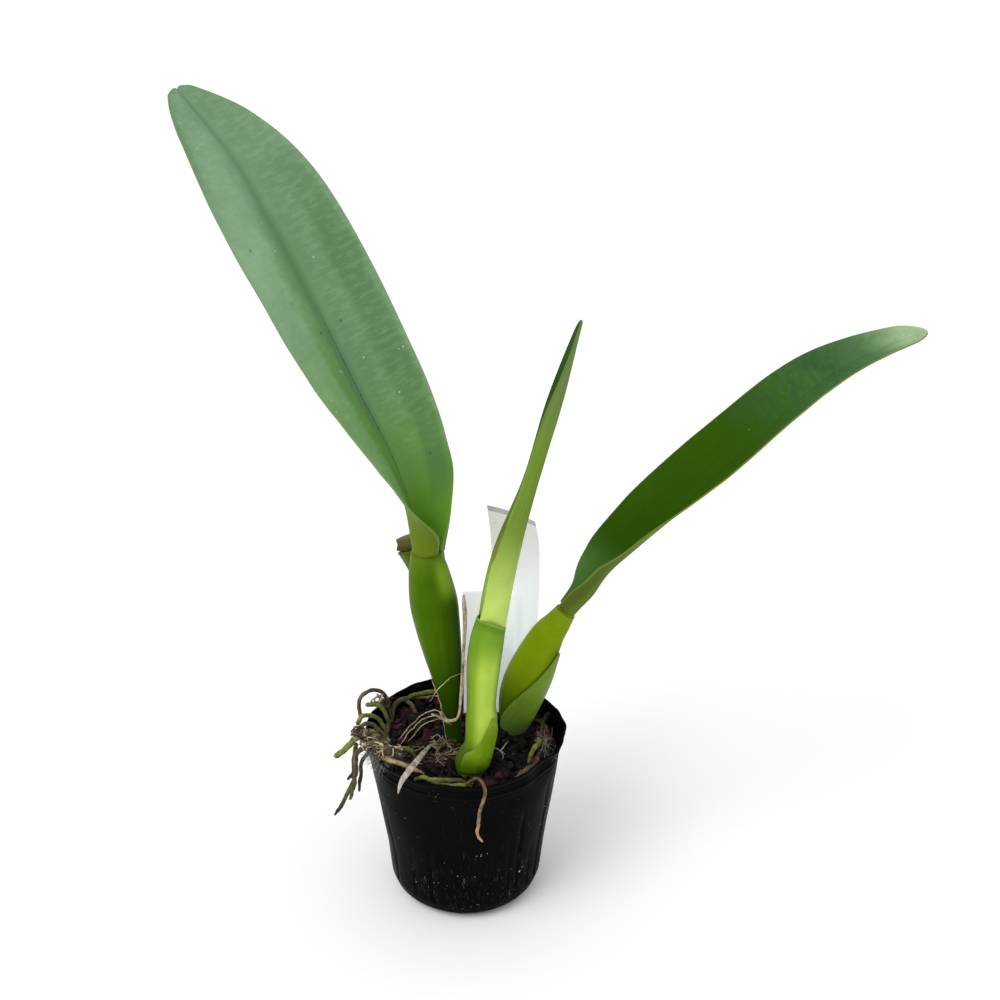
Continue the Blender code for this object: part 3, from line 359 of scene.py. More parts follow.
def skin_of(points, quads, tris, quad_uv, tri_uv, tint, under):
    """One closed surface as arrays. Its faces are turned over if the volume inside them comes out
    negative."""
    corners = points[np.concatenate([quads[:, [0, 1, 2]], quads[:, [0, 2, 3]], tris])]
    if np.einsum("ij,ij->i", corners[:, 0], np.cross(corners[:, 1], corners[:, 2])).sum() < 0:
        quads, quad_uv = quads[:, ::-1], quad_uv[:, ::-1]
        tris, tri_uv = tris[:, ::-1], tri_uv[:, ::-1]
    return {
        "points": points,
        "quads": quads,
        "tris": tris,
        "quad_uv": quad_uv,
        "tri_uv": tri_uv,
        "tint": np.broadcast_to(np.asarray(tint, float), (len(points), 3)),
        "under": np.broadcast_to(np.asarray(under, float), (len(points),)),
    }


def ring_quads(rows, m, start=0):
    """Corners of the quads that join each ring of m points to the next one, from the point numbered
    start."""
    row = np.arange(rows - 1)[:, None] * m
    j = np.arange(m)
    after = (j + 1) % m
    corners = (start + row + j, start + row + after, start + row + m + after, start + row + m + j)
    return np.stack(corners, axis=-1).reshape(-1, 4)


def loft(rings, poles=None, v=None, tint=(1, 1, 1)):
    """A closed skin over stacks of rings (k, n, m, 3): each ring is joined to the next, and a fan closes
    each end at its pole. U runs once round a ring, and V from the first ring to the last."""
    rings = rings if rings.ndim == 4 else rings[None]
    k, n, m = rings.shape[:3]
    if poles is None:
        poles = np.stack([rings[:, 0].mean(axis=1), rings[:, -1].mean(axis=1)], axis=1)
    u = np.arange(m + 1) / m
    v = np.linspace(0, 1, n) if v is None else np.asarray(v, float)
    start = np.arange(k)[:, None] * (n * m)
    j = start + np.arange(m)
    after = start + (np.arange(m) + 1) % m
    pole = k * n * m + 2 * np.arange(k)[:, None] + 0 * j
    last = (n - 1) * m
    tris = np.concatenate([
        np.stack([pole, after, j], axis=-1).reshape(-1, 3),
        np.stack([pole + 1, last + j, last + after], axis=-1).reshape(-1, 3),
    ])
    quad_uv = np.empty((k, n - 1, m, 4, 2))
    quad_uv[..., 0] = np.stack([u[:-1], u[1:], u[1:], u[:-1]], axis=-1)
    quad_uv[..., 1] = np.stack([v[:-1], v[:-1], v[1:], v[1:]], axis=-1)[:, None]
    fans = np.empty((2, k, m, 3, 2))
    fans[..., 0] = ((u[:-1] + u[1:]) / 2)[:, None]
    fans[0, ..., 1:, 0] = np.stack([u[1:], u[:-1]], axis=-1)
    fans[1, ..., 1:, 0] = np.stack([u[:-1], u[1:]], axis=-1)
    fans[0, ..., 1], fans[1, ..., 1] = v[0], v[-1]
    tint = np.asarray(tint, float)
    if tint.ndim > 1:
        by_ring = np.broadcast_to(tint.reshape(k, -1, 1, 3), (k, n, m, 3))
        tint = np.concatenate([by_ring.reshape(-1, 3), by_ring[:, [0, -1], 0].reshape(-1, 3)])
    points = np.concatenate([rings.reshape(-1, 3), poles.reshape(-1, 3)])
    quads = ring_quads(n, m, start[..., None])
    return skin_of(points, quads, tris, quad_uv.reshape(-1, 4, 2), fans.reshape(-1, 3, 2), tint, 0.0)


def blade_skin(upper, lower, across, along, tint=(1, 1, 1)):
    """A closed blade from two grids (rows, columns, 3) that meet at both margins: the upper face runs
    from the first margin to the second, the lower one back, and strips close the two ends. U is the place
    across, V along, and the attribute under is 1 on the lower face."""
    rows, columns = upper.shape[:2]
    m = 2 * columns - 2
    edge = columns - 1
    rings = np.concatenate([upper, lower[:, -2:0:-1]], axis=1)
    u = np.concatenate([across, across[-2:0:-1]]) * 0.5 + 0.5
    under = np.concatenate([np.zeros(columns), np.ones(columns - 2)])
    under[[0, edge]] = 0.5
    c = np.arange(1, columns - 2)
    strips, ends = [], []
    for base in (0, (rows - 1) * m):
        strips.append(np.stack([base + c, base + m - c, base + m - c - 1, base + c + 1], axis=-1))
        ends.append(base + np.array([[0, m - 1, 1], [edge - 1, m - edge + 1, edge]]))
    quads = np.concatenate([ring_quads(rows, m), strips[0], strips[1][:, ::-1]])
    tris = np.concatenate([ends[0], ends[1][:, ::-1]])
    uv = np.stack(np.broadcast_arrays(u, along[:, None]), axis=-1).reshape(-1, 2)
    marks = np.broadcast_to(under, (rows, m)).reshape(-1)
    return skin_of(rings.reshape(-1, 3), quads, tris, uv[quads], uv[tris], tint, marks)


def repeat_ends(values):
    """Values along paths, with the first and the last of each path given twice more for its domes."""
    return np.concatenate([values[:, :1], values[:, :1], values, values[:, -1:], values[:, -1:]], axis=1)


def tube_skin(paths, radii, sides, tint=(1, 1, 1), grain=0.0, seed=0):
    """Stalks along centrelines (k, n, 3): a ring is the centre plus radius times (side cos t + lift sin
    t). Two smaller rings and a pole dome each end, and grain swells and thins the radius by smooth
    noise."""
    tangent, side, lift = frames_along(paths)
    radii = np.broadcast_to(radii, paths.shape[:2])
    bends = np.radians([70, 38])
    first, last = paths[:, :1], paths[:, -1:]
    r0, r1 = radii[:, :1, None], radii[:, -1:, None]
    low = first - tangent[:, :1] * r0 * np.sin(bends)[None, :, None]
    high = last + tangent[:, -1:] * r1 * np.sin(bends[::-1])[None, :, None]
    centres = np.concatenate([low, paths, high], axis=1)
    sizes = np.concatenate([radii[:, :1] * np.cos(bends), radii, radii[:, -1:] * np.cos(bends[::-1])], axis=1)
    side, lift = repeat_ends(side)[:, :, None], repeat_ends(lift)[:, :, None]
    angle = round_steps(sides)
    out = side * np.cos(angle)[:, None] + lift * np.sin(angle)[:, None]
    rings = centres[:, :, None] + out * sizes[:, :, None, None]
    if grain:
        swell = ripple(rings, 5.0, seed) * 0.6 + ripple(rings, 1.8, seed + 1) * 0.4
        rings = rings + out * (sizes[:, :, None, None] * grain) * swell[..., None]
    poles = np.concatenate([first - tangent[:, :1] * r0, last + tangent[:, -1:] * r1], axis=1)
    tint = np.asarray(tint, float)
    return loft(rings, poles, tint=repeat_ends(tint) if tint.ndim == 3 else tint)


def around(line, fractions, angles, grow=0.0, flatness=1.0):
    """Points on a swollen stalk: the line's point at each fraction, plus its radius and grow times the
    direction at each angle, with everything drawn towards the line along Y by flatness. Angle 0 looks
    along X."""
    step = 0.01
    run = smooth_path(line, fractions)
    ahead = smooth_path(line, np.clip(fractions + step, 0, 1))
    behind = smooth_path(line, np.clip(fractions - step, 0, 1))
    tangent = unit((ahead - behind)[..., :3])
    side = unit(np.cross(np.array([0, 1.0, 0]), tangent))
    front = np.cross(tangent, side)
    out = side * np.cos(angles)[..., None] + front * np.sin(angles)[..., None]
    offset = out * (run[..., 3] + grow)[..., None]
    offset[..., 1] *= flatness
    return run[..., :3] + offset


def plain_object(name, skins, material):
    """One object at the origin from several skins, with their UV map and their two attributes."""
    shifts = np.cumsum([0] + [len(skin["points"]) for skin in skins])
    faces = []
    for kind in ("quads", "tris"):
        for skin, shift in zip(skins, shifts):
            faces += (skin[kind] + shift).tolist()
    mesh = bpy.data.meshes.new(name)
    points = np.concatenate([skin["points"] for skin in skins]) * MM
    mesh.from_pydata(points.tolist(), [], faces)
    places = [skin[kind].reshape(-1, 2) for kind in ("quad_uv", "tri_uv") for skin in skins]
    layer = mesh.uv_layers.new(name="surface")
    layer.data.foreach_set("uv", np.concatenate(places).astype(np.float32).ravel())
    tint = mesh.attributes.new("tint", "FLOAT_COLOR", "POINT")
    rgb = np.concatenate([skin["tint"] for skin in skins])
    tint.data.foreach_set("color", np.column_stack([rgb, np.ones(len(rgb))]).astype(np.float32).ravel())
    under = mesh.attributes.new("under", "FLOAT", "POINT")
    under.data.foreach_set("value", np.concatenate([skin["under"] for skin in skins]).astype(np.float32))
    mesh.shade_smooth()
    mesh.materials.append(material)
    made = bpy.data.objects.new(name, mesh)
    bpy.context.scene.collection.objects.link(made)
    return made


def piece(name, skins, material, slot, *nodes):
    """An object that rides on the body, stands for the named nodes, and takes its finish from the material.
    The slot is not used.
    """
    made = plain_object(name, skins, material)
    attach(made, BODY)
    if nodes:
        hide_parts(*nodes)
    return made


# Shader nodes


class Graph:
    """Short calls that add nodes to a material or a node group."""

    def __init__(self, tree):
        self.tree = tree

    def node(self, kind, inputs=(), **settings):
        """A new node with its plain settings, and with its inputs fed by name or number. Gives its
        outputs."""
        made = self.tree.nodes.new(kind)
        for name, value in settings.items():
            setattr(made, name, value)
        for key, value in dict(inputs).items():
            self.feed(made.inputs[key], value)
        return made.outputs

    def feed(self, socket, value):
        """Links a socket, or sets a plain value on it."""
        if isinstance(value, bpy.types.NodeSocket):
            self.tree.links.new(value, socket)
        elif socket.type == "RGBA":
            socket.default_value = (*value, 1)
        else:
            socket.default_value = value

    def maths(self, operation, *values):
        return self.node("ShaderNodeMath", enumerate(values), operation=operation)[0]

    def plus(self, first, second):
        return self.maths("ADD", first, second)

    def times(self, *values):
        total = values[0]
        for value in values[1:]:
            total = self.maths("MULTIPLY", total, value)
        return total

    def between(self, value, low, high, start=0.0, end=1.0):
        """A smooth step from start at low to end at high."""
        inputs = {"Value": value, "From Min": low, "From Max": high, "To Min": start, "To Max": end}
        return self.node("ShaderNodeMapRange", inputs, interpolation_type="SMOOTHSTEP")["Result"]

    def band(self, value, middle, reach, soft):
        """1 within reach of the middle, falling smoothly to 0 over soft."""
        away = self.maths("ABSOLUTE", self.maths("SUBTRACT", value, middle))
        return self.between(away, reach, reach + soft, 1.0, 0.0)

    def mix(self, share, first, second, mode="MIX"):
        inputs = {0: share, 6: first, 7: second}
        return self.node("ShaderNodeMix", inputs, data_type="RGBA", blend_type=mode)[2]

    def layers(self, base, *steps):
        """Lays (mask, mask, ..., colour) steps over a base colour in turn, with the masks of a step
        multiplied."""
        for *masks, over in steps:
            base = self.mix(self.times(*masks), base, over)
        return base

    def parts(self, vector):
        return self.node("ShaderNodeSeparateXYZ", {0: vector})

    def stretched(self, vector, scale, turn=(0, 0, 0)):
        return self.node("ShaderNodeMapping", {"Vector": vector, "Scale": scale, "Rotation": turn})[0]

    def noise(self, vector, scale, detail=3.0, roughness=0.55):
        inputs = {"Vector": vector, "Scale": scale, "Detail": detail, "Roughness": roughness}
        return self.node("ShaderNodeTexNoise", inputs)["Fac"]

    def group(self, maker, **inputs):
        """The node group that is named like its maker, which builds it the first time that it is asked
        for."""
        name = maker.__name__
        tree = bpy.data.node_groups.get(name) or maker(name)
        return self.node("ShaderNodeGroup", inputs, node_tree=tree)


def new_group(name, outputs, **numbers):
    """A shader node group that takes a vector and the named numbers. Gives its graph, its inputs and
    outputs."""
    tree = bpy.data.node_groups.new(name, "ShaderNodeTree")
    tree.interface.new_socket("Vector", in_out="INPUT", socket_type="NodeSocketVector")
    for label, value in numbers.items():
        tree.interface.new_socket(label, in_out="INPUT", socket_type="NodeSocketFloat").default_value = value
    for label in outputs:
        tree.interface.new_socket(label, in_out="OUTPUT", socket_type="NodeSocketFloat")
    graph = Graph(tree)
    return graph, graph.node("NodeGroupInput"), tree.nodes.new("NodeGroupOutput").inputs


def parallel_veins(name):
    """Fine lines that run along a blade or stalk: sines across it, blurred by long stretched noise."""
    graph, given, out = new_group(name, ["Height", "Streak"], Lines=40.0)
    across = graph.parts(given["Vector"])[0]
    drift = graph.noise(graph.stretched(given["Vector"], (6, 2, 1)), 3.0, 2.0)
    place = graph.maths("MULTIPLY_ADD", across, given["Lines"], graph.times(drift, 1.5))
    wave = graph.maths("SINE", graph.times(place, math.tau))
    streak = graph.noise(graph.stretched(given["Vector"], (60, 2.5, 1)), 2.0, 4.0, 0.6)
    graph.feed(out["Height"], graph.plus(graph.times(wave, 0.25), streak))
    graph.feed(out["Streak"], streak)
    return graph.tree


def soft_clouds(name):
    """Soft patches: two sizes of noise, pulled apart round the middle."""
    graph, given, out = new_group(name, ["Patches"], Scale=20.0)
    broad = graph.noise(given["Vector"], given["Scale"], 2.0)
    small = graph.noise(given["Vector"], graph.times(given["Scale"], 4.3), 4.0, 0.65)
    both = graph.plus(graph.times(broad, 0.65), graph.times(small, 0.35))
    graph.feed(out["Patches"], graph.between(both, 0.34, 0.66))
    return graph.tree


def scattered_specks(name):
    """Small scattered grains: a disc in the middle of each cell whose random number is below the share,
    with a radius from the cell's second random number."""
    graph, given, out = new_group(name, ["Mask"], Scale=400.0, Share=0.1)
    inputs = {"Vector": given["Vector"], "Scale": given["Scale"]}
    cells = graph.node("ShaderNodeTexVoronoi", inputs, feature="F1")
    chance, size, _ = graph.node("ShaderNodeSeparateColor", {0: cells["Color"]})
    chosen = graph.maths("GREATER_THAN", given["Share"], chance)
    inside = graph.maths("LESS_THAN", cells["Distance"], graph.maths("MULTIPLY_ADD", size, 0.22, 0.08))
    graph.feed(out["Mask"], graph.times(chosen, inside))
    return graph.tree


def long_scratches(name):
    """Thin marks that run one way: strongly stretched noise, cut off near its top, where broader noise
    allows."""
    graph, given, out = new_group(name, ["Mask"], Share=0.3)
    thin = graph.noise(given["Vector"], 1.0, 5.0, 0.7)
    patch = graph.noise(graph.stretched(given["Vector"], (0.18, 0.5, 0.18)), 1.0, 1.0)
    edge = graph.maths("SUBTRACT", 0.78, graph.times(given["Share"], 0.3))
    line = graph.between(thin, edge, graph.plus(edge, 0.06))
    graph.feed(out["Mask"], graph.times(line, graph.between(patch, 0.45, 0.62)))
    return graph.tree


class Surface(Graph):
    """A new material with a Principled shader, the places that its patterns read, and its patterns."""

    def __init__(self, name, specular):
        self.material = bpy.data.materials.new(name)
        self.material.use_nodes = True
        super().__init__(self.material.node_tree)
        self.shader = self.tree.nodes["Principled BSDF"].inputs
        self.shader["Specular IOR Level"].default_value = specular
        self.place = self.node("ShaderNodeTexCoord")["Object"]
        self.uv = self.node("ShaderNodeUVMap", uv_map="surface")[0]
        self.u, self.v, _ = self.parts(self.uv)

    def attribute(self, name, output="Fac"):
        return self.node("ShaderNodeAttribute", attribute_name=name)[output]

    def turned(self, facing):
        """How far round a stalk from its front, from -0.5 to 0.5, where facing is the front's own U."""
        return self.maths("WRAP", self.maths("SUBTRACT", self.u, facing), 0.5, -0.5)

    def clouds(self, scale, stretch=(1, 1, 1)):
        place = self.place if stretch == (1, 1, 1) else self.stretched(self.place, stretch)
        return self.group(soft_clouds, Vector=place, Scale=scale)["Patches"]

    def specks(self, scale, share):
        return self.group(scattered_specks, Vector=self.place, Scale=scale, Share=share)["Mask"]

    def scratches(self, stretch, share, turn=(0, 0, 0)):
        place = self.stretched(self.place, stretch, turn)
        return self.group(long_scratches, Vector=place, Share=share)["Mask"]

    def veins(self, lines):
        return self.group(parallel_veins, Vector=self.uv, Lines=lines)

    def finish(self, base, roughness, height, strength, distance):
        """Feeds the shader's colour, roughness and bump, and gives the material."""
        bump = self.node("ShaderNodeBump", {"Height": height, "Strength": strength, "Distance": distance})[0]
        for name, value in (("Base Color", base), ("Roughness", roughness), ("Normal", bump)):
            self.feed(self.shader[name], value)
        return self.material


# Settings


def colour_setting(name, description, default):
    return FloatVectorProperty(
        name=name, description=description, default=default, subtype="COLOR", min=0, max=1
    )


class OrchidPotSettings(bpy.types.PropertyGroup):
    """Sizes and finish of the nursery pot."""

    wall: FloatProperty(
        name="Wall", description="Thickness of the soft wall", default=0.9 * MM, min=0.0003, unit="LENGTH"
    )
    wobble: FloatProperty(
        name="Rim wobble", description="How unevenly the soft rim runs",
        default=0.6 * MM, min=0, unit="LENGTH"
    )
    plastic: colour_setting("Plastic", "Colour of the pot", (0.0017, 0.0017, 0.0021))
    # Colour of real dust and scuffs, and also of the painted sheen in the pot's clouds and streaks
    dust: colour_setting("Dust", "Colour of scuffs and dry dust", (0.16, 0.16, 0.155))


class OrchidMixSettings(bpy.types.PropertyGroup):
    """The bark filling."""

    large: IntProperty(name="Large chips", description="Bark chips that show their shape", default=150, min=1)
    small: IntProperty(name="Crumbs", description="Small pieces between the chips", default=420, min=1)
    bark: colour_setting("Bark", "Colour of the damp bark", (0.0075, 0.0045, 0.0042))
    red_bark: colour_setting("Red bark", "Colour of the reddest chips", (0.075, 0.014, 0.022))


class OrchidLeafSettings(bpy.types.PropertyGroup):
    """Colours of the leaves."""

    left: colour_setting("Left leaf", "Upper face of the left leaf", colour(108, 144, 107))
    right: colour_setting("Right leaf", "Upper face of the right leaf", colour(46, 80, 4))
    young: colour_setting("Young leaf", "Back of the folded young leaf", colour(104, 132, 44))
    # partly waxy bloom, partly painted light on the outer half of the left leaf, which faces the light
    bloom: colour_setting("Bloom", "Pale waxy bloom on the upper faces", colour(152, 186, 148))


class OrchidGrowthSettings(bpy.types.PropertyGroup):
    """Colours of pseudobulbs, shoot and sheaths."""

    left_bulb: colour_setting("Left pseudobulb", "Skin of the left pseudobulb", colour(64, 98, 0))
    right_bulb: colour_setting("Right pseudobulb", "Skin of the right pseudobulb", colour(122, 146, 8))
    shoot: colour_setting("Shoot", "Sheath of the young growth", colour(124, 156, 34))
    sheath: colour_setting("Clasping sheath", "Sheath at the right pseudobulb", colour(104, 132, 30))


class OrchidRootSettings(bpy.types.PropertyGroup):
    """Roots, fibres and fuzz."""

    grain: FloatProperty(
        name="Grain", description="Share of a root's radius by which its skin swells",
        default=0.2, min=0, max=0.6, subtype="FACTOR"
    )
    fuzz: IntProperty(name="Fuzz hairs", description="Fine moss hairs on the tangle", default=640, min=1)
    fibre: colour_setting("Fibre", "Colour of dry fibres", colour(224, 208, 176))
    moss: colour_setting("Moss", "Colour of the fine grey-green fuzz", colour(150, 160, 152))


class OrchidTagSettings(bpy.types.PropertyGroup):
    """The blank tags."""

    thickness: FloatProperty(
        name="Thickness", description="Thickness of a tag", default=0.8 * MM, min=0.0002, unit="LENGTH"
    )
    white: colour_setting("White", "Colour of the tags", (0.93, 0.95, 0.97))


class OrchidStageSettings(bpy.types.PropertyGroup):
    """Camera, light and floor."""

    lens: FloatProperty(name="Lens", description="Focal length", default=50, unit="CAMERA")
    place: FloatVectorProperty(
        name="Camera", description="Where the camera stands", default=(0.01865, -0.6165, 0.5058),
        subtype="TRANSLATION", unit="LENGTH"
    )
    pitch: FloatProperty(
        name="Pitch", description="How far the camera looks down", default=math.radians(24.4), subtype="ANGLE"
    )
    floor: colour_setting("Floor", "Colour of the floor", (0.95, 0.95, 0.95))
    sky: FloatProperty(
        name="Sky", description="Strength of the even light from all sides", default=0.86, min=0
    )
    sun: FloatProperty(
        name="Window", description="Strength of the soft light from the upper left", default=1.15, min=0
    )
    sheen: FloatProperty(
        name="Sheen", description="Power of the small lamp that makes highlights", default=2.0, min=0
    )


# Pot


def rim_push(x, y, z):
    """How far the wall is bent outwards: raised cosines round the rim's bends, growing with height above
    the point where the wall turns soft."""
    direction = np.degrees(np.arctan2(y, x))
    push = np.zeros_like(direction)
    for middle, amount, reach in RIM_BENDS:
        away = np.abs((direction - middle + 180) % 360 - 180)
        push += np.where(away < reach, amount * 0.5 * (1 + np.cos(np.pi * away / reach)), 0)
    rise = np.clip((z - RIM_WAVE_START) / (RIM_HEIGHT - RIM_WAVE_START), 0, None)
    return push * rise**1.5


def pot_wall_profile():
    """Heights and radii up the outside: the table is joined by straight runs whose corners are rounded by
    a running mean, and each rim ring is a small raised bell."""
    table = np.array(POT_OUTSIDE)
    runs = ((0, 12, 40), (12.6, 80, 40), (80.4, RIM_HEIGHT, 70))  # closer rows at the foot and at the rim
    heights = np.concatenate([np.linspace(*run) for run in runs])
    spread = np.clip(heights[:, None] + np.linspace(-1.2, 1.2, 13), 0, RIM_HEIGHT)
    radius = np.interp(spread, table[:, 0], table[:, 1]).mean(axis=1)
    radius[0] = table[0, 1]
    for height, depth, half in RIM_RINGS:
        radius += depth * np.exp(-(((heights - height) / half) ** 2))
    return heights, radius


def flute_depth(direction, height):
    """How far the pressed folds pull the wall in: a bell across each fold, fading out at its foot and its
    top."""
    depth = np.zeros(np.broadcast(direction, height).shape)
    foot, foot_fade, top_fade = 6, 8, 22
    for middle, most, half, top in FLUTES:
        away = (direction - middle + 180) % 360 - 180
        along = np.clip((height - foot) / foot_fade, 0, 1) * np.clip((top - height) / top_fade, 0, 1)
        depth += most * np.exp(-((away / half) ** 2)) * along
    return depth


def pot_skin(wall, wobble, columns=336):
    """The pot as one closed loft: floor inside, inner wall, rounded rim, outer wall, foot and base. Each
    ring's radius is the profile's, plus the rim's bends, less the flutes, plus smooth noise that grows
    with height."""
    heights, radius = pot_wall_profile()
    floor, lip = wall * 1.5, 0.35
    inside = [(r - wall, max(h, floor)) for r, h in zip(radius, heights) if h > 1.2]
    middle = radius[-1] - wall / 2
    rim = []
    for bend in np.radians([30, 90, 150]):
        rim.append((middle - math.cos(bend) * wall / 2, RIM_HEIGHT - lip + math.sin(bend) * lip))
    outside = list(zip(radius[::-1], heights[::-1]))
    base = [(r, 0.0) for r in reversed(POT_FLOOR)]
    profile = np.array([(r, floor) for r in POT_FLOOR] + inside[:-1] + rim + outside[1:] + base)
    angle = round_steps(columns)
    r, h = profile[:, :1], profile[:, 1:]
    x, y = r * np.cos(angle), r * np.sin(angle)
    z = np.broadcast_to(h, x.shape)
    places = np.stack(np.broadcast_arrays(np.cos(angle) * 30, np.sin(angle) * 30, z), axis=-1)
    soft_from, soft_over = 55, 40
    rise = np.clip((h - soft_from) / soft_over, 0, 1) ** 2
    waver = ripple(places, 17.0, 31) * wobble * rise * 1.6 + ripple(places, 26.0, 32) * 0.22
    waver = waver + ripple(places, 9.0, 33) * wobble * 0.5 * rise
    base_edge, foot_width = 33, 6
    standing = np.clip((r - base_edge) / foot_width, 0, 1)
    change = (rim_push(x, y, z) + waver - flute_depth(np.degrees(angle), h)) * standing
    lower = ripple(places[..., :2], 14.0, 34) * wobble * rise * 1.2
    x, y = (r + change) * np.cos(angle), (r + change) * np.sin(angle)
    return loft(np.stack([x, y, z - np.abs(lower)], axis=-1))


def drain_holes(pot):
    """Cuts the round holes in the base with one Boolean of upright cylinders. An uncut base is an error."""
    angle = round_steps(24)
    cutters = []
    for turn in round_steps(DRAIN_HOLES):
        x = DRAIN_CIRCLE * math.cos(turn) + DRAIN_RADIUS * np.cos(angle)
        y = DRAIN_CIRCLE * math.sin(turn) + DRAIN_RADIUS * np.sin(angle)
        rings = [np.stack([x, y, np.full_like(x, z)], axis=-1) for z in (-2.0, 0.5, 3.0)]
        cutters.append(loft(np.stack(rings)))
    cutter = plain_object("drain_cutter", cutters, pot.data.materials[0])
    cut = pot.modifiers.new("drain holes", "BOOLEAN")
    cut.operation = "DIFFERENCE"
    cut.solver = "EXACT"
    cut.object = cutter
    bpy.context.view_layer.update()
    mesh = bpy.data.meshes.new_from_object(pot.evaluated_get(bpy.context.evaluated_depsgraph_get()))
    if len(mesh.vertices) == len(pot.data.vertices):
        raise RuntimeError("the drain holes were not cut")
    pot.modifiers.clear()
    pot.data = mesh
    bpy.data.objects.remove(cutter, do_unlink=True)


def pot_material(settings):
    """Black soft plastic: faint clouds of painted sheen, upright dusty streaks that thicken towards the foot
    and also stand for painted sheen along the folds, and white specks."""
    look = Surface("pot_soft_plastic", 0.012)
    cloudy = look.clouds(26.0)
    streaks = look.scratches((900, 900, 55), 0.62)
    fine = look.scratches((2600, 2600, 260), 0.6)
    low = look.between(look.parts(look.place)[2], 0.01, 0.055, 1.0, 0.12)
    dusty = look.between(look.times(look.clouds(55.0, (1, 1, 0.3)), low), 0.1, 0.5)
    grains = look.times(look.specks(900.0, 0.05), look.between(look.clouds(38.0), 0.35, 0.75))
    white = look.maths("MAXIMUM", grains, look.specks(520.0, 0.003))
    base = look.layers(
        settings.plastic,
        # faint clouds of the dust colour: painted sheen
        (cloudy, 0.008, settings.dust),
        # upright streaks: dust low down, and painted sheen along the folds
        (streaks, low, 0.38, settings.dust),
        (fine, low, 0.36, settings.dust),
        (dusty, look.maths("MAXIMUM", streaks, fine), 0.34, settings.dust),
        (white, 0.8, colour(200, 198, 190)),
    )
    rough = look.plus(0.32, look.times(cloudy, 0.2))
    rough = look.plus(rough, look.times(look.maths("MAXIMUM", streaks, white), 0.3))
    height = look.plus(look.times(cloudy, 0.6), look.times(streaks, 0.4))
    return look.finish(base, rough, height, 0.25, 0.0004)


# Bark


def bed_skin(tint, columns=160, rows=52):
    """The filling as a closed loft inside the pot: a foot, a tapered side, and a top whose height is
    smooth noise of three sizes that dies out at the wall."""
    rim = BED_SIDE[-1][0]
    profile = np.array([*BED_SIDE, *((rim * share, BED_TOP) for share in np.linspace(1, 0.02, rows))])
    angle = round_steps(columns)
    r, h = profile[:, :1], profile[:, 1:]
    x, y = r * np.cos(angle), r * np.sin(angle)
    z = np.broadcast_to(h, x.shape).copy()
    scale = 1 + np.minimum(rim_push(x, y, z), 0) / np.maximum(r, 1)
    places = np.stack([x * scale, y * scale], axis=-1)
    bumps = ripple(places, 11.0, 5) * 1.2 + ripple(places, 4.0, 6) * 0.7 + ripple(places, 1.7, 7) * 0.35
    calm_width, calm_share = 3, 0.2
    top = slice(len(BED_SIDE), None)
    z[top] += bumps[top] * np.clip((rim - r[top]) / calm_width, calm_share, 1)
    return loft(np.concatenate([places, z[..., None]], axis=-1), tint=tint)


def chosen_tints(draw, tints, count, low, high):
    """One of the tints for each piece, each made darker or lighter by a random factor."""
    return np.array(tints)[draw.integers(0, len(tints), count)] * draw.uniform(low, high, (count, 1))


def chips_skin(count, chip, tints, reach=45.5, golden_turn=2.39996, power=0.42, slant=0.22, tilt=0.8):
    """Loose bark pieces. Each is a ball grid whose sines and cosines are raised to a power below 1, which
    squares it off, then dented by noise, stretched, turned at random and set on a golden-angle spiral
    over the filling."""
    draw = np.random.default_rng(chip["seed"])
    lat = np.linspace(-90, 90, chip["along"] + 2)[1:-1]
    lon = np.arange(chip["across"]) * 360 / chip["across"]
    up, turn = np.meshgrid(np.radians(lat), np.radians(lon), indexing="ij")
    waves = np.stack([np.cos(up), np.sin(up), np.cos(turn), np.sin(turn)])
    level, lift, ahead, aside = np.sign(waves) * np.abs(waves) ** power
    ball = np.stack([level * ahead, level * aside, lift], axis=-1)
    least, most = np.array(chip["sizes"]).T
    half = draw.uniform(least, most, (count, 3)) / 2
    skew = draw.uniform(-slant, slant, (count, 3, 3)) + np.eye(3)
    angles = draw.uniform(-tilt, tilt, (count, 2))
    spin = draw.uniform(0, math.tau, count)
    rotation = np.stack([turn_matrix(*turns) for turns in np.column_stack([angles, spin])])
    index = np.arange(count)
    away = reach * np.sqrt((index + 0.5) / count)
    around_axis = index * golden_turn
    heights = chip["level"] + draw.uniform(-1.6, 1.3, count)
    middle = np.column_stack([away * np.cos(around_axis), away * np.sin(around_axis), heights])
    middle[:, :2] += draw.normal(0, 1.0, (count, 2))
    local = ball[None] * half[:, None, None]
    shifts = draw.uniform(-50, 50, (count, 1, 1, 3))
    dents = ripple(local + shifts, 6.0, chip["seed"] + 1) * 0.2
    dents = dents + ripple(local * [1, 2.5, 2.5] + shifts, 2.2, chip["seed"] + 2) * 0.14
    ends = np.array([[0, 0, -1.0], [0, 0, 1.0]]) * half[:, None]
    rings = turned_by(rotation, turned_by(skew, local * (1 + dents[..., None]))) + middle[:, None, None]
    poles = turned_by(rotation, turned_by(skew, ends)) + middle[:, None]
    chosen = chosen_tints(draw, tints, count, 0.6, 1.3)
    return loft(inside_wall(rings), inside_wall(poles), tint=chosen[:, None])


def turned_by(matrices, points):
    """Each piece's points multiplied by its own matrix."""
    return np.einsum("kij,k...j->k...i", matrices, points)


def turn_matrix(about_x, about_y, about_z):
    """Rotation about X, then Y, then Z."""
    cx, sx = math.cos(about_x), math.sin(about_x)
    cy, sy = math.cos(about_y), math.sin(about_y)
    cz, sz = math.cos(about_z), math.sin(about_z)
    first = np.array([[1, 0, 0], [0, cx, -sx], [0, sx, cx]])
    second = np.array([[cy, 0, sy], [0, 1, 0], [-sy, 0, cy]])
    return np.array([[cz, -sz, 0], [sz, cz, 0], [0, 0, 1]]) @ second @ first


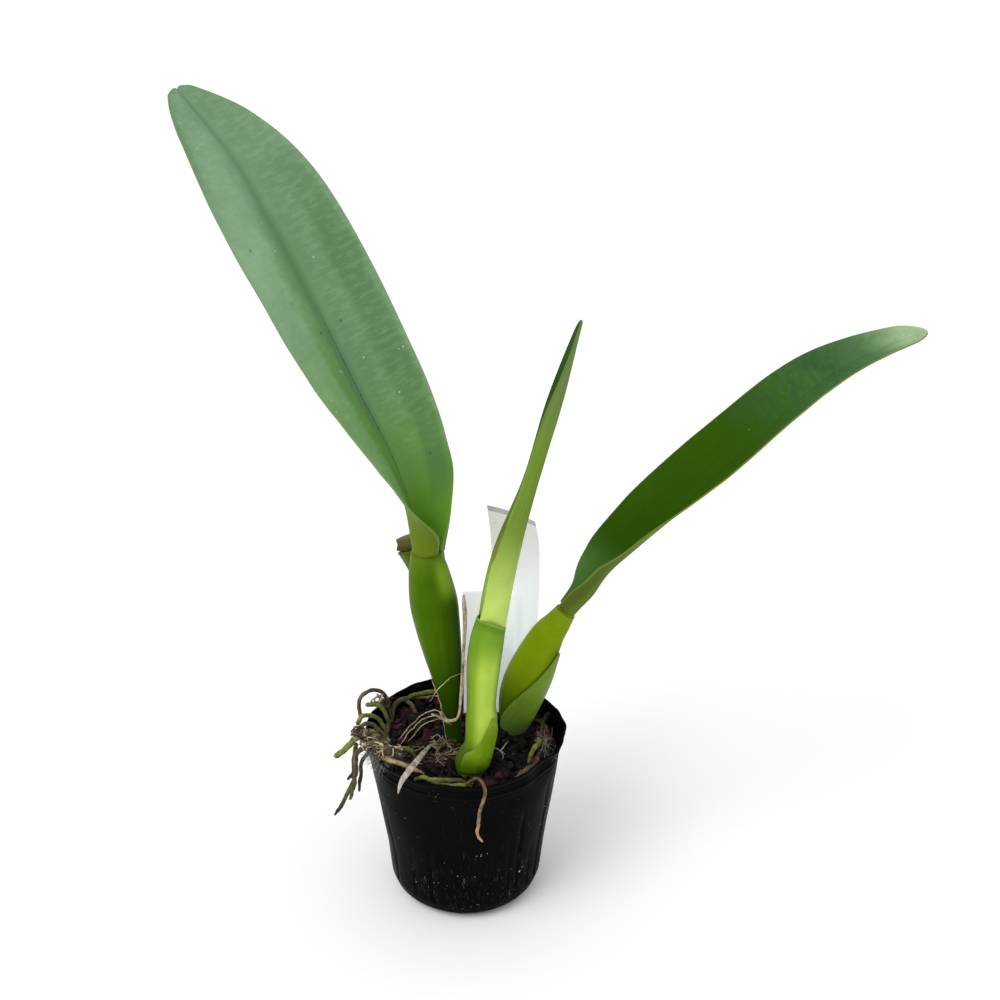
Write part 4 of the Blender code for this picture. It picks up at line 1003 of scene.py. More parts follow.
def inside_wall(points):
    """Draws points in towards the axis where they would pass through the pot's wall."""
    x, y, z = points[..., 0], points[..., 1], points[..., 2]
    limit = CHIP_ROOM + np.minimum(rim_push(x, y, np.maximum(z, RIM_WAVE_START)), 0)
    radius = np.hypot(x, y)
    share = np.where(radius > limit, limit / np.maximum(radius, 1), 1)
    return np.stack([x * share, y * share, z], axis=-1)


def bark_material(settings):
    """Damp bark: each chip's own colour, darkened in patches, with layered ridges and dust."""
    look = Surface("bark_damp", 0.14)
    cloudy = look.clouds(160.0)
    ridges = look.noise(look.stretched(look.place, (500, 500, 1400), (0.4, 0.3, 0)), 1.0, 4.0, 0.7)
    base = look.layers(
        look.attribute("tint", "Color"),
        (cloudy, 0.6, settings.bark),
        (look.between(ridges, 0.52, 0.78, 0.0, 0.2), colour(40, 27, 28)),
        (look.specks(900.0, 0.02), 0.6, colour(170, 158, 140)),
    )
    rough = look.between(ridges, 0.3, 0.7, 0.35, 0.85)
    return look.finish(base, rough, look.plus(ridges, look.times(cloudy, 0.5)), 0.7, 0.0006)


# Growths


def round_ripple(angles, fractions, spread, stretch, size, seed):
    """Smooth noise on a stalk, read on a cylinder of radius spread whose height is stretch times the
    fraction."""
    places = (np.cos(angles) * spread, np.sin(angles) * spread, fractions * stretch)
    return ripple(np.stack(np.broadcast_arrays(*places), axis=-1), size, seed)


def bell(values, middle, half):
    """A bell curve that is 1 at its middle and falls to a third at half."""
    return np.exp(-(((values - middle) / half) ** 2))


def stalk_skin(line, rows, columns, flatness=1.0, ribs=0.0, rings=(), dome=0.35, seed=0):
    """A swollen stalk: radius from its line, plus smooth lengthwise ribs, plus a raised bell at each ring
    (fraction, height, half width), with both ends drawn in over a short dome."""
    fractions = np.linspace(0, 1, rows)[:, None] + np.zeros(columns)
    angles = np.broadcast_to(round_steps(columns), fractions.shape)
    swell = round_ripple(angles, fractions, 2, 1.2, 1.1, seed) * ribs
    swell = swell + round_ripple(angles, fractions, 1, 4, 1.3, seed + 1) * 0.12
    for middle, height, half in rings:
        swell = swell + height * bell(fractions, middle, half)
    radius = smooth_path(line, fractions)[..., 3]
    dome_length = 0.008
    edge = np.clip(np.minimum(fractions, 1 - fractions) / dome_length, 0, 1)
    swell = swell - radius * dome * (1 - np.sqrt(1 - (1 - edge) ** 2)) * 0.5
    return loft(around(line, fractions, angles, swell, flatness))


def clasp_skin(line, shape, flatness, seed, rows=60, columns=41, thickness=0.8, offset=0.4):
    """A thin sheath round a stalk: an arc of the stalk's skin whose half angle narrows to the top, lifted
    by an offset and a flare that swells low down. It thins to its margins, and its outside wrinkles a
    little."""
    low, high = shape["arc"][0][0], shape["arc"][-1][0]
    fractions = np.linspace(low, high, rows)
    rise = (fractions - low) / (high - low)
    across = np.sin(np.linspace(-1, 1, columns) * math.pi / 2)
    reach = np.radians(value_along(shape["arc"], fractions))[:, None]
    angles = math.radians(shape["facing"]) + reach * across
    lift = offset + (shape["flare"] * 2.5 * (1 - rise) ** 2 * rise)[:, None]
    margin = rounded_margin(across, 0.9)
    grown = fractions[:, None] + 0 * across
    wrinkle = ripple(np.stack([angles * 3.0, grown * 2], axis=-1), 0.9, seed) * 0.1
    outer = around(line, grown, angles, lift + thickness * (0.35 + 0.65 * margin) + wrinkle, flatness)
    inner = around(line, grown, angles, lift + thickness * 0.35 * (1 - margin), flatness)
    inner[:, [0, -1]] = outer[:, [0, -1]]
    return blade_skin(outer, inner, across, rise)


def shoot_skin(rows=110, columns=96, mouth_rows=14):
    """The young growth: an outer skin up to its lip, over the rounded lip, and down inside the mouth. The
    lip is higher on its left, so the rings near it lean with the cosine of the angle."""
    angles = round_steps(columns)
    peak, slope, lowest = 0.016, 0.038, 0.35  # rise in front, fall to the right, and the lowest place's angle
    lean_from, lean_over = 0.7, 0.3
    front = np.clip(-np.sin(angles), 0, 1)
    lean = peak * front**2 - slope * (1 + np.cos(angles - lowest)) / 2
    fractions = np.linspace(0, 1, rows)[:, None]
    outer_at = fractions + lean * np.clip((fractions - lean_from) / lean_over, 0, 1) ** 2
    swell = round_ripple(angles, fractions, 2, 1.5, 1.0, 61) * 0.12 + 0.1 * bell(fractions, 0.99, 0.006)
    outer = around(SHOOT, outer_at, angles, swell, SHOOT_FLATNESS)
    inner_at = 1 + lean - np.linspace(0, 1, mouth_rows)[:, None] * SHOOT_DEPTH / SHOOT_LENGTH
    inner = around(SHOOT, inner_at, angles, -SHOOT_WALL, SHOOT_FLATNESS)
    lip = (outer[-1] + inner[0]) / 2 + np.array([0.1, 0, 0.45])
    v = np.concatenate([np.linspace(0, 1, rows), [1.0], np.linspace(1, 0.75, mouth_rows)])
    return loft(np.concatenate([outer, lip[None], inner]), v=v)


def bulb_material(name, skin, shade, lit_side_and_veins, ring, scar=0.99, older=0.0, sheen=0.0):
    """Waxy skin of a pseudobulb: painted shade on its right and low down, painted light on its left, a soft
    painted highlight near its top, a brown ring under the leaf, and faint lengthwise veins, freckles and
    scratches."""
    look = Surface(name, 0.03)
    between, band, v = look.between, look.band, look.v
    turned = look.turned(BULB_FACING)
    vein = look.veins(34.0)
    cloudy = look.clouds(70.0)
    marks = look.scratches((1300, 1300, 190), 0.24, (0.1, 0.1, 0))
    base = look.layers(
        skin,
        # painted light on the left side, which faces the light
        (between(turned, -0.06, -0.2), 0.8, lit_side_and_veins),
        # painted shade on the right side, away from the light
        (between(turned, 0.0, 0.2), between(v, 0.86, 0.68), 0.85, shade),
        # painted shade low down
        (between(v, 0.6, 0.2), 0.92, shade),
        # painted highlight near the top, as strong as sheen
        (band(turned, 0.15, 0.02, 0.1), band(v, 0.88, 0.02, 0.12), sheen, colour(122, 160, 40)),
        (between(v, 0.86, 0.98), 0.25, colour(110, 142, 40)),
        (cloudy, 0.16, shade),
        (between(vein["Streak"], 0.5, 0.75), 0.07, lit_side_and_veins),
        (look.specks(620.0, 0.05), 0.25, shade),
        (marks, 0.28, colour(170, 184, 120)),
        (band(v, scar, 0.002, 0.004), 0.75, ring),
        (older, colour(84, 78, 40)),
    )
    rough = look.plus(0.3, look.times(cloudy, 0.16))
    return look.finish(base, rough, look.plus(vein["Height"], look.times(marks, 0.5)), 0.07, 0.0003)


def shoot_material(settings):
    """Fresh sheath: a painted highlight along its middle, painted shade in deeper green at its sides, under
    the lip and at the round foot, a thin pale lip, and fine lengthwise veins."""
    look = Surface("shoot_fresh_sheath", 0.08)
    between, band, v = look.between, look.band, look.v
    turned = look.turned(SHOOT_FACING)
    sides = between(look.maths("ABSOLUTE", turned), 0.1, 0.24)
    vein = look.veins(30.0)
    cloudy = look.clouds(60.0)
    shade_and_mottle_green = colour(78, 108, 8)
    base = look.layers(
        settings.shoot,
        # painted highlight down the front of the round sheath
        (band(turned, 0.02, 0.05, 0.1), 0.9, colour(174, 205, 78)),
        # painted shade at the sides
        (sides, between(v, 0.3, 0.62, 0.5, 0.9), shade_and_mottle_green),
        (between(v, 0.66, 0.93), 0.85, colour(96, 140, 26)),
        # painted shade just under the lip
        (between(v, 0.93, 0.98), 0.6, colour(70, 112, 18)),
        # painted shade at the round foot
        (between(v, 0.3, 0.14), 0.95, colour(50, 76, 0)),
        (cloudy, 0.16, shade_and_mottle_green),
        (between(vein["Streak"], 0.5, 0.75), 0.14, colour(190, 212, 110)),
        (band(v, 0.996, 0.002, 0.004), 0.5, colour(150, 184, 80)),
        (between(v, 0.05, 0.015), 0.7, colour(150, 160, 84)),
    )
    return look.finish(base, look.plus(0.32, look.times(cloudy, 0.12)), vein["Height"], 0.12, 0.0003)


def sheath_material(name, skin, foot, scuff, scuffs):
    """A thin sheath: parallel veins, a foot of another green, which on the bract is dark painted shade, a dry
    margin and tip, and pale scuffs lengthwise."""
    look = Surface(name, 0.08)
    vein = look.veins(26.0)
    marks = look.scratches((900, 900, 160), scuffs, (0.15, 0.25, 0))
    edge = look.between(look.maths("ABSOLUTE", look.maths("SUBTRACT", look.u, 0.5)), 0.47, 0.5)
    base = look.layers(
        skin,
        # the foot colour; on the bract it is painted shade at the bottom
        (look.between(look.v, 0.4, 0.02), 0.9, foot),
        (look.clouds(80.0), 0.22, foot),
        (look.between(vein["Streak"], 0.48, 0.74), 0.22, scuff),
        (marks, 0.55, scuff),
        (edge, 0.35, colour(120, 124, 60)),
        (look.between(look.v, 0.93, 1.0), 0.4, colour(128, 112, 52)),
    )
    return look.finish(base, look.plus(0.36, look.times(marks, 0.25)), vein["Height"], 0.25, 0.0004)


# Leaves


def blade_grids(shape, across, rows):
    """The two faces of a leaf. Each half leaves the midrib along a curve whose slope rises to the fold
    angle over the crease, so its place is the running mean of the slope's cosine and sine. The lower face
    lies the leaf's thickness under the upper one, with a keel along the midrib, and both meet in a
    rounded margin."""
    packing = 1.35  # rows lie closer together towards the tip
    groove_depth, groove_half, keel_half, thinning = 0.28, 0.8, 1.9, 0.45
    fractions = 1 - (1 - np.linspace(0, 1, rows)) ** packing
    path = smooth_path(shape["midrib"], fractions)
    tangent = unit(np.gradient(path, axis=0))
    up = np.array([0, 0, 1.0])
    normal = unit(up - (tangent @ up)[:, None] * tangent)
    turn = np.radians(value_along(shape["turn"], fractions))[:, None]
    normal = normal * np.cos(turn) + np.cross(tangent, normal) * np.sin(turn)
    side = np.cross(tangent, normal)
    share, blunt = shape["tip"]
    tail = np.clip((fractions - 1 + share) / share, 0, 1)
    half = (value_along(shape["half"], fractions) * np.sqrt(1 - tail**2 * (1 - blunt**2)))[:, None]
    fold = np.radians(value_along(shape["fold"], fractions))[:, None]
    reach = np.abs(across)[None, :] * half
    samples = 24
    steps = (np.arange(samples) + 0.5) / samples
    angle = fold[..., None] * (1 - np.exp(-reach[..., None] * steps / shape["crease"]))
    out = np.cos(angle).mean(axis=-1) * reach * np.sign(across)
    rise = np.sin(angle).mean(axis=-1) * reach
    near_tip = np.clip((fractions - 0.94) / 0.06, 0, 1)[:, None]
    lobes = shape["notch"] * near_tip**2 * np.sin(np.pi * np.abs(across) ** 0.8)
    upper = path[:, None] + side[:, None] * out[..., None] + normal[:, None] * rise[..., None]
    upper = upper + tangent[:, None] * lobes[..., None]
    face = unit(np.cross(np.gradient(upper, axis=0), np.gradient(upper, axis=1)))
    face = face * np.sign(np.sum(face * normal[:, None], axis=-1).mean())
    free = np.clip(fractions / 0.12, 0, 1)[:, None]
    roll = ripple(upper, 46.0, 71) * shape["wave"] * 0.8 + ripple(upper, 19.0, 72) * shape["wave"] * 0.25
    hem = ripple(upper, 34.0, 73) * shape["wave"] * 0.5 * across[None, :] ** 6
    groove = -groove_depth * bell(reach, 0, groove_half)
    upper = upper + face * ((roll + hem) * free + groove)[..., None]
    thickness = value_along(shape["thickness"], fractions)[:, None] * (1 - thinning * across**2)
    thickness = thickness + value_along(shape["keel"], fractions)[:, None] * bell(reach, 0, keel_half)
    tip = np.maximum(rounded_margin(fractions, 0.992), math.sqrt(0.02))[:, None]
    thickness = thickness * rounded_margin(across, 0.965) * tip
    return upper, upper - face * thickness[..., None], fractions


def leaf_skin(shape, rows=230, columns=73):
    """A leaf's closed blade, with its columns packed towards the crease and the margins."""
    even = np.linspace(-1, 1, columns)
    across = 0.72 * np.sign(even) * (0.5 - 0.5 * np.cos(np.pi * np.abs(even) ** 0.9)) + 0.28 * even
    upper, lower, fractions = blade_grids(shape, across, rows)
    return blade_skin(upper, lower, across, fractions)


class LeafSurface(Surface):
    """What all leaves share: a waxy surface, the places across and along the blade, veins, patches,
    streaks that cross the blade, pores and chalky grains."""

    def __init__(self, name, lines, wrinkles, specular):
        super().__init__(name, specular)
        self.along = self.v
        self.across = self.maths("MULTIPLY_ADD", self.u, 2.0, -1.0)
        self.aside = self.maths("ABSOLUTE", self.across)
        self.under = self.attribute("under")
        vein = self.veins(lines)
        crossing = self.noise(self.stretched(self.uv, (8.0, 100.0, 1), (0, 0, 0.06)), 1.0, 4.0, 0.6)
        self.streak = vein["Streak"]
        self.height = self.plus(self.times(vein["Height"], 0.2), self.times(crossing, wrinkles))
        self.crossing = self.between(crossing, 0.44, 0.7)
        self.cloudy = self.clouds(34.0)
        self.pores = self.specks(330.0, 0.02)
        self.chalk = self.specks(470.0, 0.012)

    def finish_leaf(self, base, rough, gloss, strength, distance):
        """Finishes with a roughness that rises by gloss in the patches, and with the leaf's own bumps."""
        rough = self.plus(rough, self.times(self.cloudy, gloss))
        return self.finish(base, rough, self.height, strength, distance)


def left_leaf_material(settings):
    """Grey-green leaf: a wide pale stripe on the outer half, partly waxy bloom and partly painted light,
    yellow-green beside the midrib, painted shade in a soft dark crease, short pale and dark wrinkles across
    it with a darker band near the inner margin, a greener strip low on the outer half, and a yellow-green
    foot."""
    look = LeafSurface("leaf_left_waxy", 46.0, 0.5, 0.05)
    between, band = look.between, look.band
    across, along, under, crossing = look.across, look.along, look.under, look.crossing
    uneven = look.maths("MULTIPLY_ADD", look.cloudy, 0.1, across)
    outer = band(uneven, -0.6, 0.26, 0.32)
    inner = band(uneven, -0.17, 0.06, 0.14)
    grown = between(along, 0.12, 0.3)
    base = look.layers(
        settings.left,
        (between(along, 0.58, 0.84), 0.7, colour(121, 151, 120)),
        (between(along, 0.42, 0.16), 0.85, colour(104, 146, 62)),
        # pale stripe: partly waxy bloom, partly painted light on the half that faces the light
        (outer, between(along, 0.14, 0.5), between(along, 1.04, 0.62), 0.6, settings.bloom),
        (between(across, -0.82, -0.96), band(along, 0.24, 0.07, 0.09), 0.5, colour(150, 184, 132)),
        (between(across, -0.72, -0.95), between(along, 0.66, 0.88), 0.6, colour(92, 128, 86)),
        (between(across, 0.02, -0.3), band(along, 0.28, 0.08, 0.16), 0.75, colour(128, 172, 108)),
        (inner, between(along, 0.75, 0.3), 0.6, colour(98, 146, 58)),
        (between(along, 0.18, 0.06), 0.95, colour(96, 146, 6)),
        # painted shade in the crease along the midrib
        (band(across, -0.02, 0.03, 0.1), between(along, 0.82, 0.6, 0.35, 0.55), grown, colour(80, 112, 70)),
        (band(uneven, 0.76, 0.12, 0.18), band(along, 0.42, 0.2, 0.24), 0.62, colour(78, 112, 66)),
        (between(uneven, 0.95, 1.0), grown, 0.4, colour(128, 160, 122)),
        (crossing, between(across, 0.1, 0.35), grown, 0.32, colour(126, 156, 122)),
        (between(crossing, 0.45, 0.0), between(across, 0.02, 0.2), grown, 0.22, colour(80, 114, 74)),
        (crossing, outer, 0.22, colour(160, 192, 156)),
        (look.cloudy, 0.24, colour(80, 114, 76)),
        (band(across, 0.004, 0.003, 0.012), band(along, 0.28, 0.14, 0.16),
         between(crossing, 0.0, 0.8, 0.5, 1.0), 0.7, colour(34, 60, 30)),
        (look.pores, 0.5, colour(44, 72, 40)),
        (look.chalk, 0.5, colour(196, 216, 190)),
        (under, 0.8, colour(92, 120, 48)),
        (under, between(along, 0.2, 0.05), 0.95, colour(92, 112, 12)),
        (between(look.aside, 0.975, 0.995), 0.4, colour(140, 162, 100)),
    )
    return look.finish_leaf(base, 0.42, 0.12, 0.25, 0.0006)


def right_leaf_material(settings):
    """Dark green leaf: fresh green at its foot, greyer and paler towards the tip with a painted reflection on
    the tip itself and a dark blotch before it, a yellow-green lower margin and a faint midrib line, with an
    olive back."""
    look = LeafSurface("leaf_right_waxy", 44.0, 0.25, 0.012)
    between, band = look.between, look.band
    across, along, aside, under = look.across, look.along, look.aside, look.under
    uneven = look.maths("MULTIPLY_ADD", look.cloudy, 0.09, along)
    base = look.layers(
        settings.right,
        (between(uneven, 0.56, 0.84), 0.8, colour(62, 98, 56)),
        (between(uneven, 0.84, 0.94), 0.8, colour(98, 134, 90)),
        # painted reflection that makes the tip pale
        (between(along, 0.87, 0.99), 0.8, colour(180, 204, 160)),
        (between(along, 0.2, 0.08), between(across, 0.6, 0.0), 0.85, colour(86, 126, 60)),
        (look.cloudy, 0.3, colour(34, 62, 8)),
        (look.crossing, between(along, 0.5, 0.95), 0.22, colour(104, 134, 96)),
        (between(look.streak, 0.5, 0.74), 0.1, colour(84, 118, 44)),
        (between(look.cloudy, 0.35, 0.7), band(along, 0.76, 0.08, 0.1), 0.4, colour(44, 78, 46)),
        (band(across, 0.0, 0.006, 0.02), between(along, 0.55, 0.85), 0.25, colour(34, 60, 26)),
        (look.chalk, 0.35, colour(170, 190, 150)),
        (between(across, 0.96, 0.99), 0.8, colour(138, 160, 58)),
        (between(across, -0.975, -0.995), 0.5, colour(112, 138, 70)),
        (under, 0.9, colour(94, 114, 40)),
        (under, between(aside, 0.25, 0.6), between(aside, 1.0, 0.9), between(along, 0.3, 0.1), 0.5,
         colour(74, 82, 32)),
    )
    return look.finish_leaf(base, 0.4, 0.12, 0.2, 0.0005)


def young_leaf_material(settings):
    """Folded young leaf: pale lime at its foot, greyer green above, fine pale veins, a brown scratch or
    two on its margin, and painted shade on its inner face where the fold is tight."""
    look = LeafSurface("leaf_centre_soft", 30.0, 0.15, 0.06)
    between, along, aside = look.between, look.along, look.aside
    inner = look.maths("SUBTRACT", 1.0, between(look.under, 0.0, 0.4))
    edge = between(aside, 0.93, 0.985)
    base = look.layers(
        settings.young,
        (between(along, 0.44, 0.16), 0.95, colour(188, 212, 106)),
        (between(along, 0.62, 0.9), 0.85, colour(104, 124, 82)),
        (look.cloudy, 0.2, colour(92, 122, 34)),
        (between(look.streak, 0.48, 0.74), 0.2, colour(196, 214, 130)),
        (edge, between(along, 0.7, 0.3), 0.55, colour(146, 176, 60)),
        (edge, look.band(along, 0.36, 0.04, 0.03), 0.8, colour(112, 92, 40)),
        (between(aside, 0.8, 0.97), between(along, 0.55, 0.75), 0.45, colour(70, 104, 30)),
        # painted shade inside the tight fold
        (inner, between(along, 0.5, 0.84), 0.9, colour(38, 74, 18)),
    )
    return look.finish_leaf(base, 0.38, 0.1, 0.15, 0.0003)


# Roots and fibres


def roots_skins(table, grain, seed):
    """Each root as a thick tube: its line is smoothed and shaken a little, it narrows over its last
    quarter, and its colour runs from the first named one to the second."""
    skins = []
    for index, (radius, start, end, points) in enumerate(table):
        t = np.linspace(0, 1, 14 + 7 * len(points))
        path = shaken(smooth_path(points, t), 7.0, seed + index, 0.28)
        size = radius * (1 - 0.42 * np.clip((t - 0.75) / 0.25, 0, 1) ** 2)
        blend = np.clip((t - 0.3) / 0.6, 0, 1)[:, None]
        tint = np.array(ROOT_COLOURS[start]) * (1 - blend) + np.array(ROOT_COLOURS[end]) * blend
        skins.append(tube_skin(path[None], size[None], 14, tint[None], grain, seed + index))
    return skins


def fibres_skin(count, middle, half, seed, radius, tints, rings=22, sides=5, length=(0.7, 1.5), curl=0.35):
    """Loose fibres through an egg-shaped cloud: each is a short line through a random point, bent by two
    random sines, and kept within the cloud's own half sizes."""
    draw = np.random.default_rng(seed)
    start = unit(draw.normal(size=(count, 3))) * draw.uniform(0, 0.75, (count, 1)) ** 0.5
    heading = unit(draw.normal(size=(count, 3)))
    reach = draw.uniform(*length, (count, 1, 1))
    t = np.linspace(-0.5, 0.5, rings)[None, :, None]
    bend_a, bend_b = draw.normal(0, curl, (2, count, 1, 3))
    phase = draw.uniform(0, math.tau, (count, 1, 1))
    line = start[:, None] + heading[:, None] * t * reach
    line = line + bend_a * np.sin(t * 5 + phase) + bend_b * np.cos(t * 8 + phase) * 0.5
    size = np.linalg.norm(line, axis=-1, keepdims=True)
    line = line / np.maximum(size, 1) * np.minimum(1, 0.2 + size)
    radii = draw.uniform(*radius, (count, 1)) * (1 - 0.6 * (2 * np.abs(t[..., 0])) ** 3)
    chosen = chosen_tints(draw, tints, count, 0.75, 1.2)
    tint = chosen[:, None] + np.zeros((1, rings, 1))
    return tube_skin(np.asarray(middle) + line * half, radii, sides, tint)


def hairs_skin(count, middle, half, seed, radius, tints, length, rings=8):
    """Very fine hairs that stand out of an egg-shaped clump and droop: each starts on the egg and runs
    outwards, bent by a random direction that grows with the square of the distance."""
    draw = np.random.default_rng(seed)
    out = unit(draw.normal(size=(count, 3)))
    start = np.asarray(middle) + out * np.asarray(half) * draw.uniform(0.3, 0.95, (count, 1))
    t = np.linspace(0, 1, rings)[None, :, None]
    reach = draw.uniform(*length, (count, 1, 1))
    bend = draw.normal(0, 0.6, (count, 1, 3)) - [0, 0, 0.3]
    paths = start[:, None] + out[:, None] * t * reach + bend * reach * t**2
    chosen = chosen_tints(draw, tints, count, 0.7, 1.3)
    radii = draw.uniform(*radius, (count, 1)) * (1 - 0.7 * t[..., 0])
    return tube_skin(paths, radii, 4, chosen[:, None] + np.zeros((1, rings, 1)))


def strand_skins(radius, count, points, tint, seed):
    """A frayed strand: thin fibres wound loosely round one smooth line, each at its own angle and
    distance."""
    draw = np.random.default_rng(seed)
    t = np.linspace(0, 1, 12 + 8 * len(points))
    line = smooth_path(points, t)
    _, side, lift = frames_along(line[None])
    skins = []
    for _ in range(count):
        turn = draw.uniform(0, math.tau) + t * draw.uniform(-3, 3)
        away = radius * draw.uniform(0.25, 0.75) * (0.7 + 0.5 * np.sin(t * draw.uniform(4, 12)))
        path = line + side[0] * (np.cos(turn) * away)[:, None] + lift[0] * (np.sin(turn) * away)[:, None]
        size = radius * draw.uniform(0.34, 0.56) * np.clip(np.minimum(t, 1 - t) * 14 + 0.3, 0, 1)
        skins.append(tube_skin(path[None], size[None], 7, tint * draw.uniform(0.7, 1.25)))
    return skins


def thin_fibre_skin(radius, points, tint, seed):
    """One thin fibre along a smoothed and shaken line, thinner towards both ends."""
    t = np.linspace(0, 1, 12 + 10 * len(points))
    path = shaken(smooth_path(points, t), 5.0, seed, 0.35)
    size = radius * (1 - 0.6 * np.abs(2 * t - 1) ** 3)
    return tube_skin(path[None], size[None], 6, tint)


def root_material(name, lines, stripes, ribs=0):
    """Roots and fibres: each one's own colour, mottled, with pale and dark lengthwise streaks, wavy dark
    ribs where a number of them is given, and grains of dirt."""
    look = Surface(name, 0.12)
    own = look.attribute("tint", "Color")
    cloudy = look.clouds(220.0)
    vein = look.veins(lines)
    base = look.layers(
        own,
        (cloudy, 0.85, look.mix(1.0, own, colour(128, 116, 104), "MULTIPLY")),
        (look.between(vein["Streak"], 0.5, 0.72), stripes, colour(204, 194, 170)),
        (look.between(vein["Streak"], 0.48, 0.3), stripes, colour(52, 44, 34)),
    )
    if ribs:
        turns = look.times(look.u, ribs * math.tau)
        wave = look.maths("SINE", look.maths("MULTIPLY_ADD", vein["Streak"], 3.0, turns))
        base = look.mix(look.between(wave, 0.1, 0.8, 0.0, 0.6), base, colour(96, 82, 70))
    base = look.mix(look.times(look.specks(1100.0, 0.08), 0.35), base, colour(48, 38, 28))
    height = look.plus(look.times(vein["Height"], 0.6), look.times(cloudy, 0.5))
    return look.finish(base, look.between(cloudy, 0.0, 1.0, 0.55, 0.85), height, 0.5, 0.0004)


def dry_blade_skin(rows=90, columns=33):
    """The narrow dry blade: flat rows along its line whose edges hang a little, with lengthwise ridges."""
    t = np.linspace(0, 1, rows)
    path = smooth_path(DRY_BLADE["midrib"], t)
    tangent = unit(np.gradient(path, axis=0))
    flat = unit(np.cross(tangent, np.array(DRY_BLADE["lean"])))
    normal = unit(np.cross(flat, tangent))
    normal = (normal * np.sign(normal[:, 2:]))[:, None]
    half = value_along(DRY_BLADE["half"], t)[:, None]
    across = np.linspace(-1, 1, columns)
    upper = path[:, None] + flat[:, None] * (across * half)[..., None]
    ridges = 0.07 * np.sin(across * 17)[None, :] + 0.1 * ripple(upper, 6.0, 81)
    upper = upper + normal * ridges[..., None]
    hang, end_share = 0.35, 0.2
    upper[..., 2] -= hang * across**2
    ends = (end_share + 0.8 * np.sin(np.pi * t) ** 0.5)[:, None]
    thickness = DRY_BLADE["thickness"] * rounded_margin(across, 0.85) * ends
    return blade_skin(upper, upper - normal * thickness[..., None], across, t, colour(242, 230, 220))


# Tags


def tag_skin(shape, thickness, rows=60, columns=24):
    """A thin bowed plate between its two edges: straight across, bowed back by a parabola, with rounded
    margins and a faint ripple, as thin plastic has."""
    t = np.linspace(0, 1, rows)
    left, right = smooth_path(shape["left"], t)[:, None], smooth_path(shape["right"], t)[:, None]
    across = np.sin(np.linspace(-1, 1, columns) * math.pi / 2)
    share = ((across + 1) / 2)[None, :, None]
    front = left * (1 - share) + right * share
    front[..., 1] += shape["bow"] * (4 * share * (1 - share))[..., 0]
    front[..., 1] += ripple(front, 40.0, 91) * 0.25
    end_length, end_share = 0.006, 0.25
    ends = np.clip(np.minimum(t, 1 - t) / end_length + end_share, 0, 1)[:, None]
    back = front + np.array([0, 1.0, 0]) * (thickness * rounded_margin(across, 0.97) * ends)[..., None]
    return blade_skin(front, back, across, t)


def tag_material(name, settings, band):
    """Blank white plastic: faint upright scratches and grime, warmer towards the top, and a plain grey
    band along the top where band is above 0. A weak light of its own, on the front face and with a band
    mostly low down, stands for light that passes through the thin sheet."""
    look = Surface(name, 0.3)
    look.shader["Emission Strength"].default_value = 0.32
    front = look.between(look.attribute("under"), 0.9, 0.1, 0.15, 1.0)
    low = look.between(look.v, 0.92, 0.4, 0.1, 1.0) if band else 1.0
    lit = look.mix(look.times(front, low), (0.0, 0.0, 0.0), (0.9, 0.95, 1.0))
    look.feed(look.shader["Emission Color"], lit)
    cloudy = look.clouds(30.0)
    marks = look.scratches((500, 500, 120), 0.3)
    base = look.layers(
        settings.white,
        (look.between(look.v, 0.7, 0.95), 0.7 if band else 0.2, colour(222, 218, 212)),
        (cloudy, 0.2, colour(206, 208, 212)),
        (look.between(look.v, 0.975, 0.98), band, colour(158, 158, 158)),
        (marks, 0.25, colour(150, 150, 148)),
        (look.specks(420.0, 0.02), 0.3, colour(96, 90, 80)),
        (look.between(look.v, 0.25, 0.05), 0.4, colour(150, 140, 120)),
    )
    return look.finish(base, look.plus(0.36, look.times(cloudy, 0.15)), marks, 0.05, 0.0002)


# Operators


class ORCHID_OT_pot(bpy.types.Operator):
    """Build the soft nursery pot with its wavy rim, folds and drain holes"""

    bl_idname = "orchid.pot"
    bl_label = "Nursery pot"

    def execute(self, context):
        settings = context.scene.orchid_pot
        skin = pot_skin(settings.wall / MM, settings.wobble / MM)
        drain_holes(piece("nursery_pot", [skin], pot_material(settings), "pot_plastic", "pot"))
        return {"FINISHED"}


class ORCHID_OT_mix(bpy.types.Operator):
    """Build the bark filling: a bumpy bed, chips and crumbs"""

    bl_idname = "orchid.mix"
    bl_label = "Bark mix"

    def execute(self, context):
        settings = context.scene.orchid_mix
        dark, red = tuple(settings.bark), tuple(settings.red_bark)
        black, dull, brown = colour(9, 6, 6), colour(23, 15, 16), colour(42, 30, 28)
        bark = bark_material(settings)
        piece("bark_bed", [bed_skin(dark)], bark, "bark", "bark_mix")
        large = chips_skin(settings.large, LARGE_CHIP, [dark, black, dark, dull, red, black])
        small = chips_skin(settings.small, SMALL_CHIP, [dark, black, dull, dark, red, brown])
        piece("bark_chips", [large, small], bark, "bark")
        return {"FINISHED"}


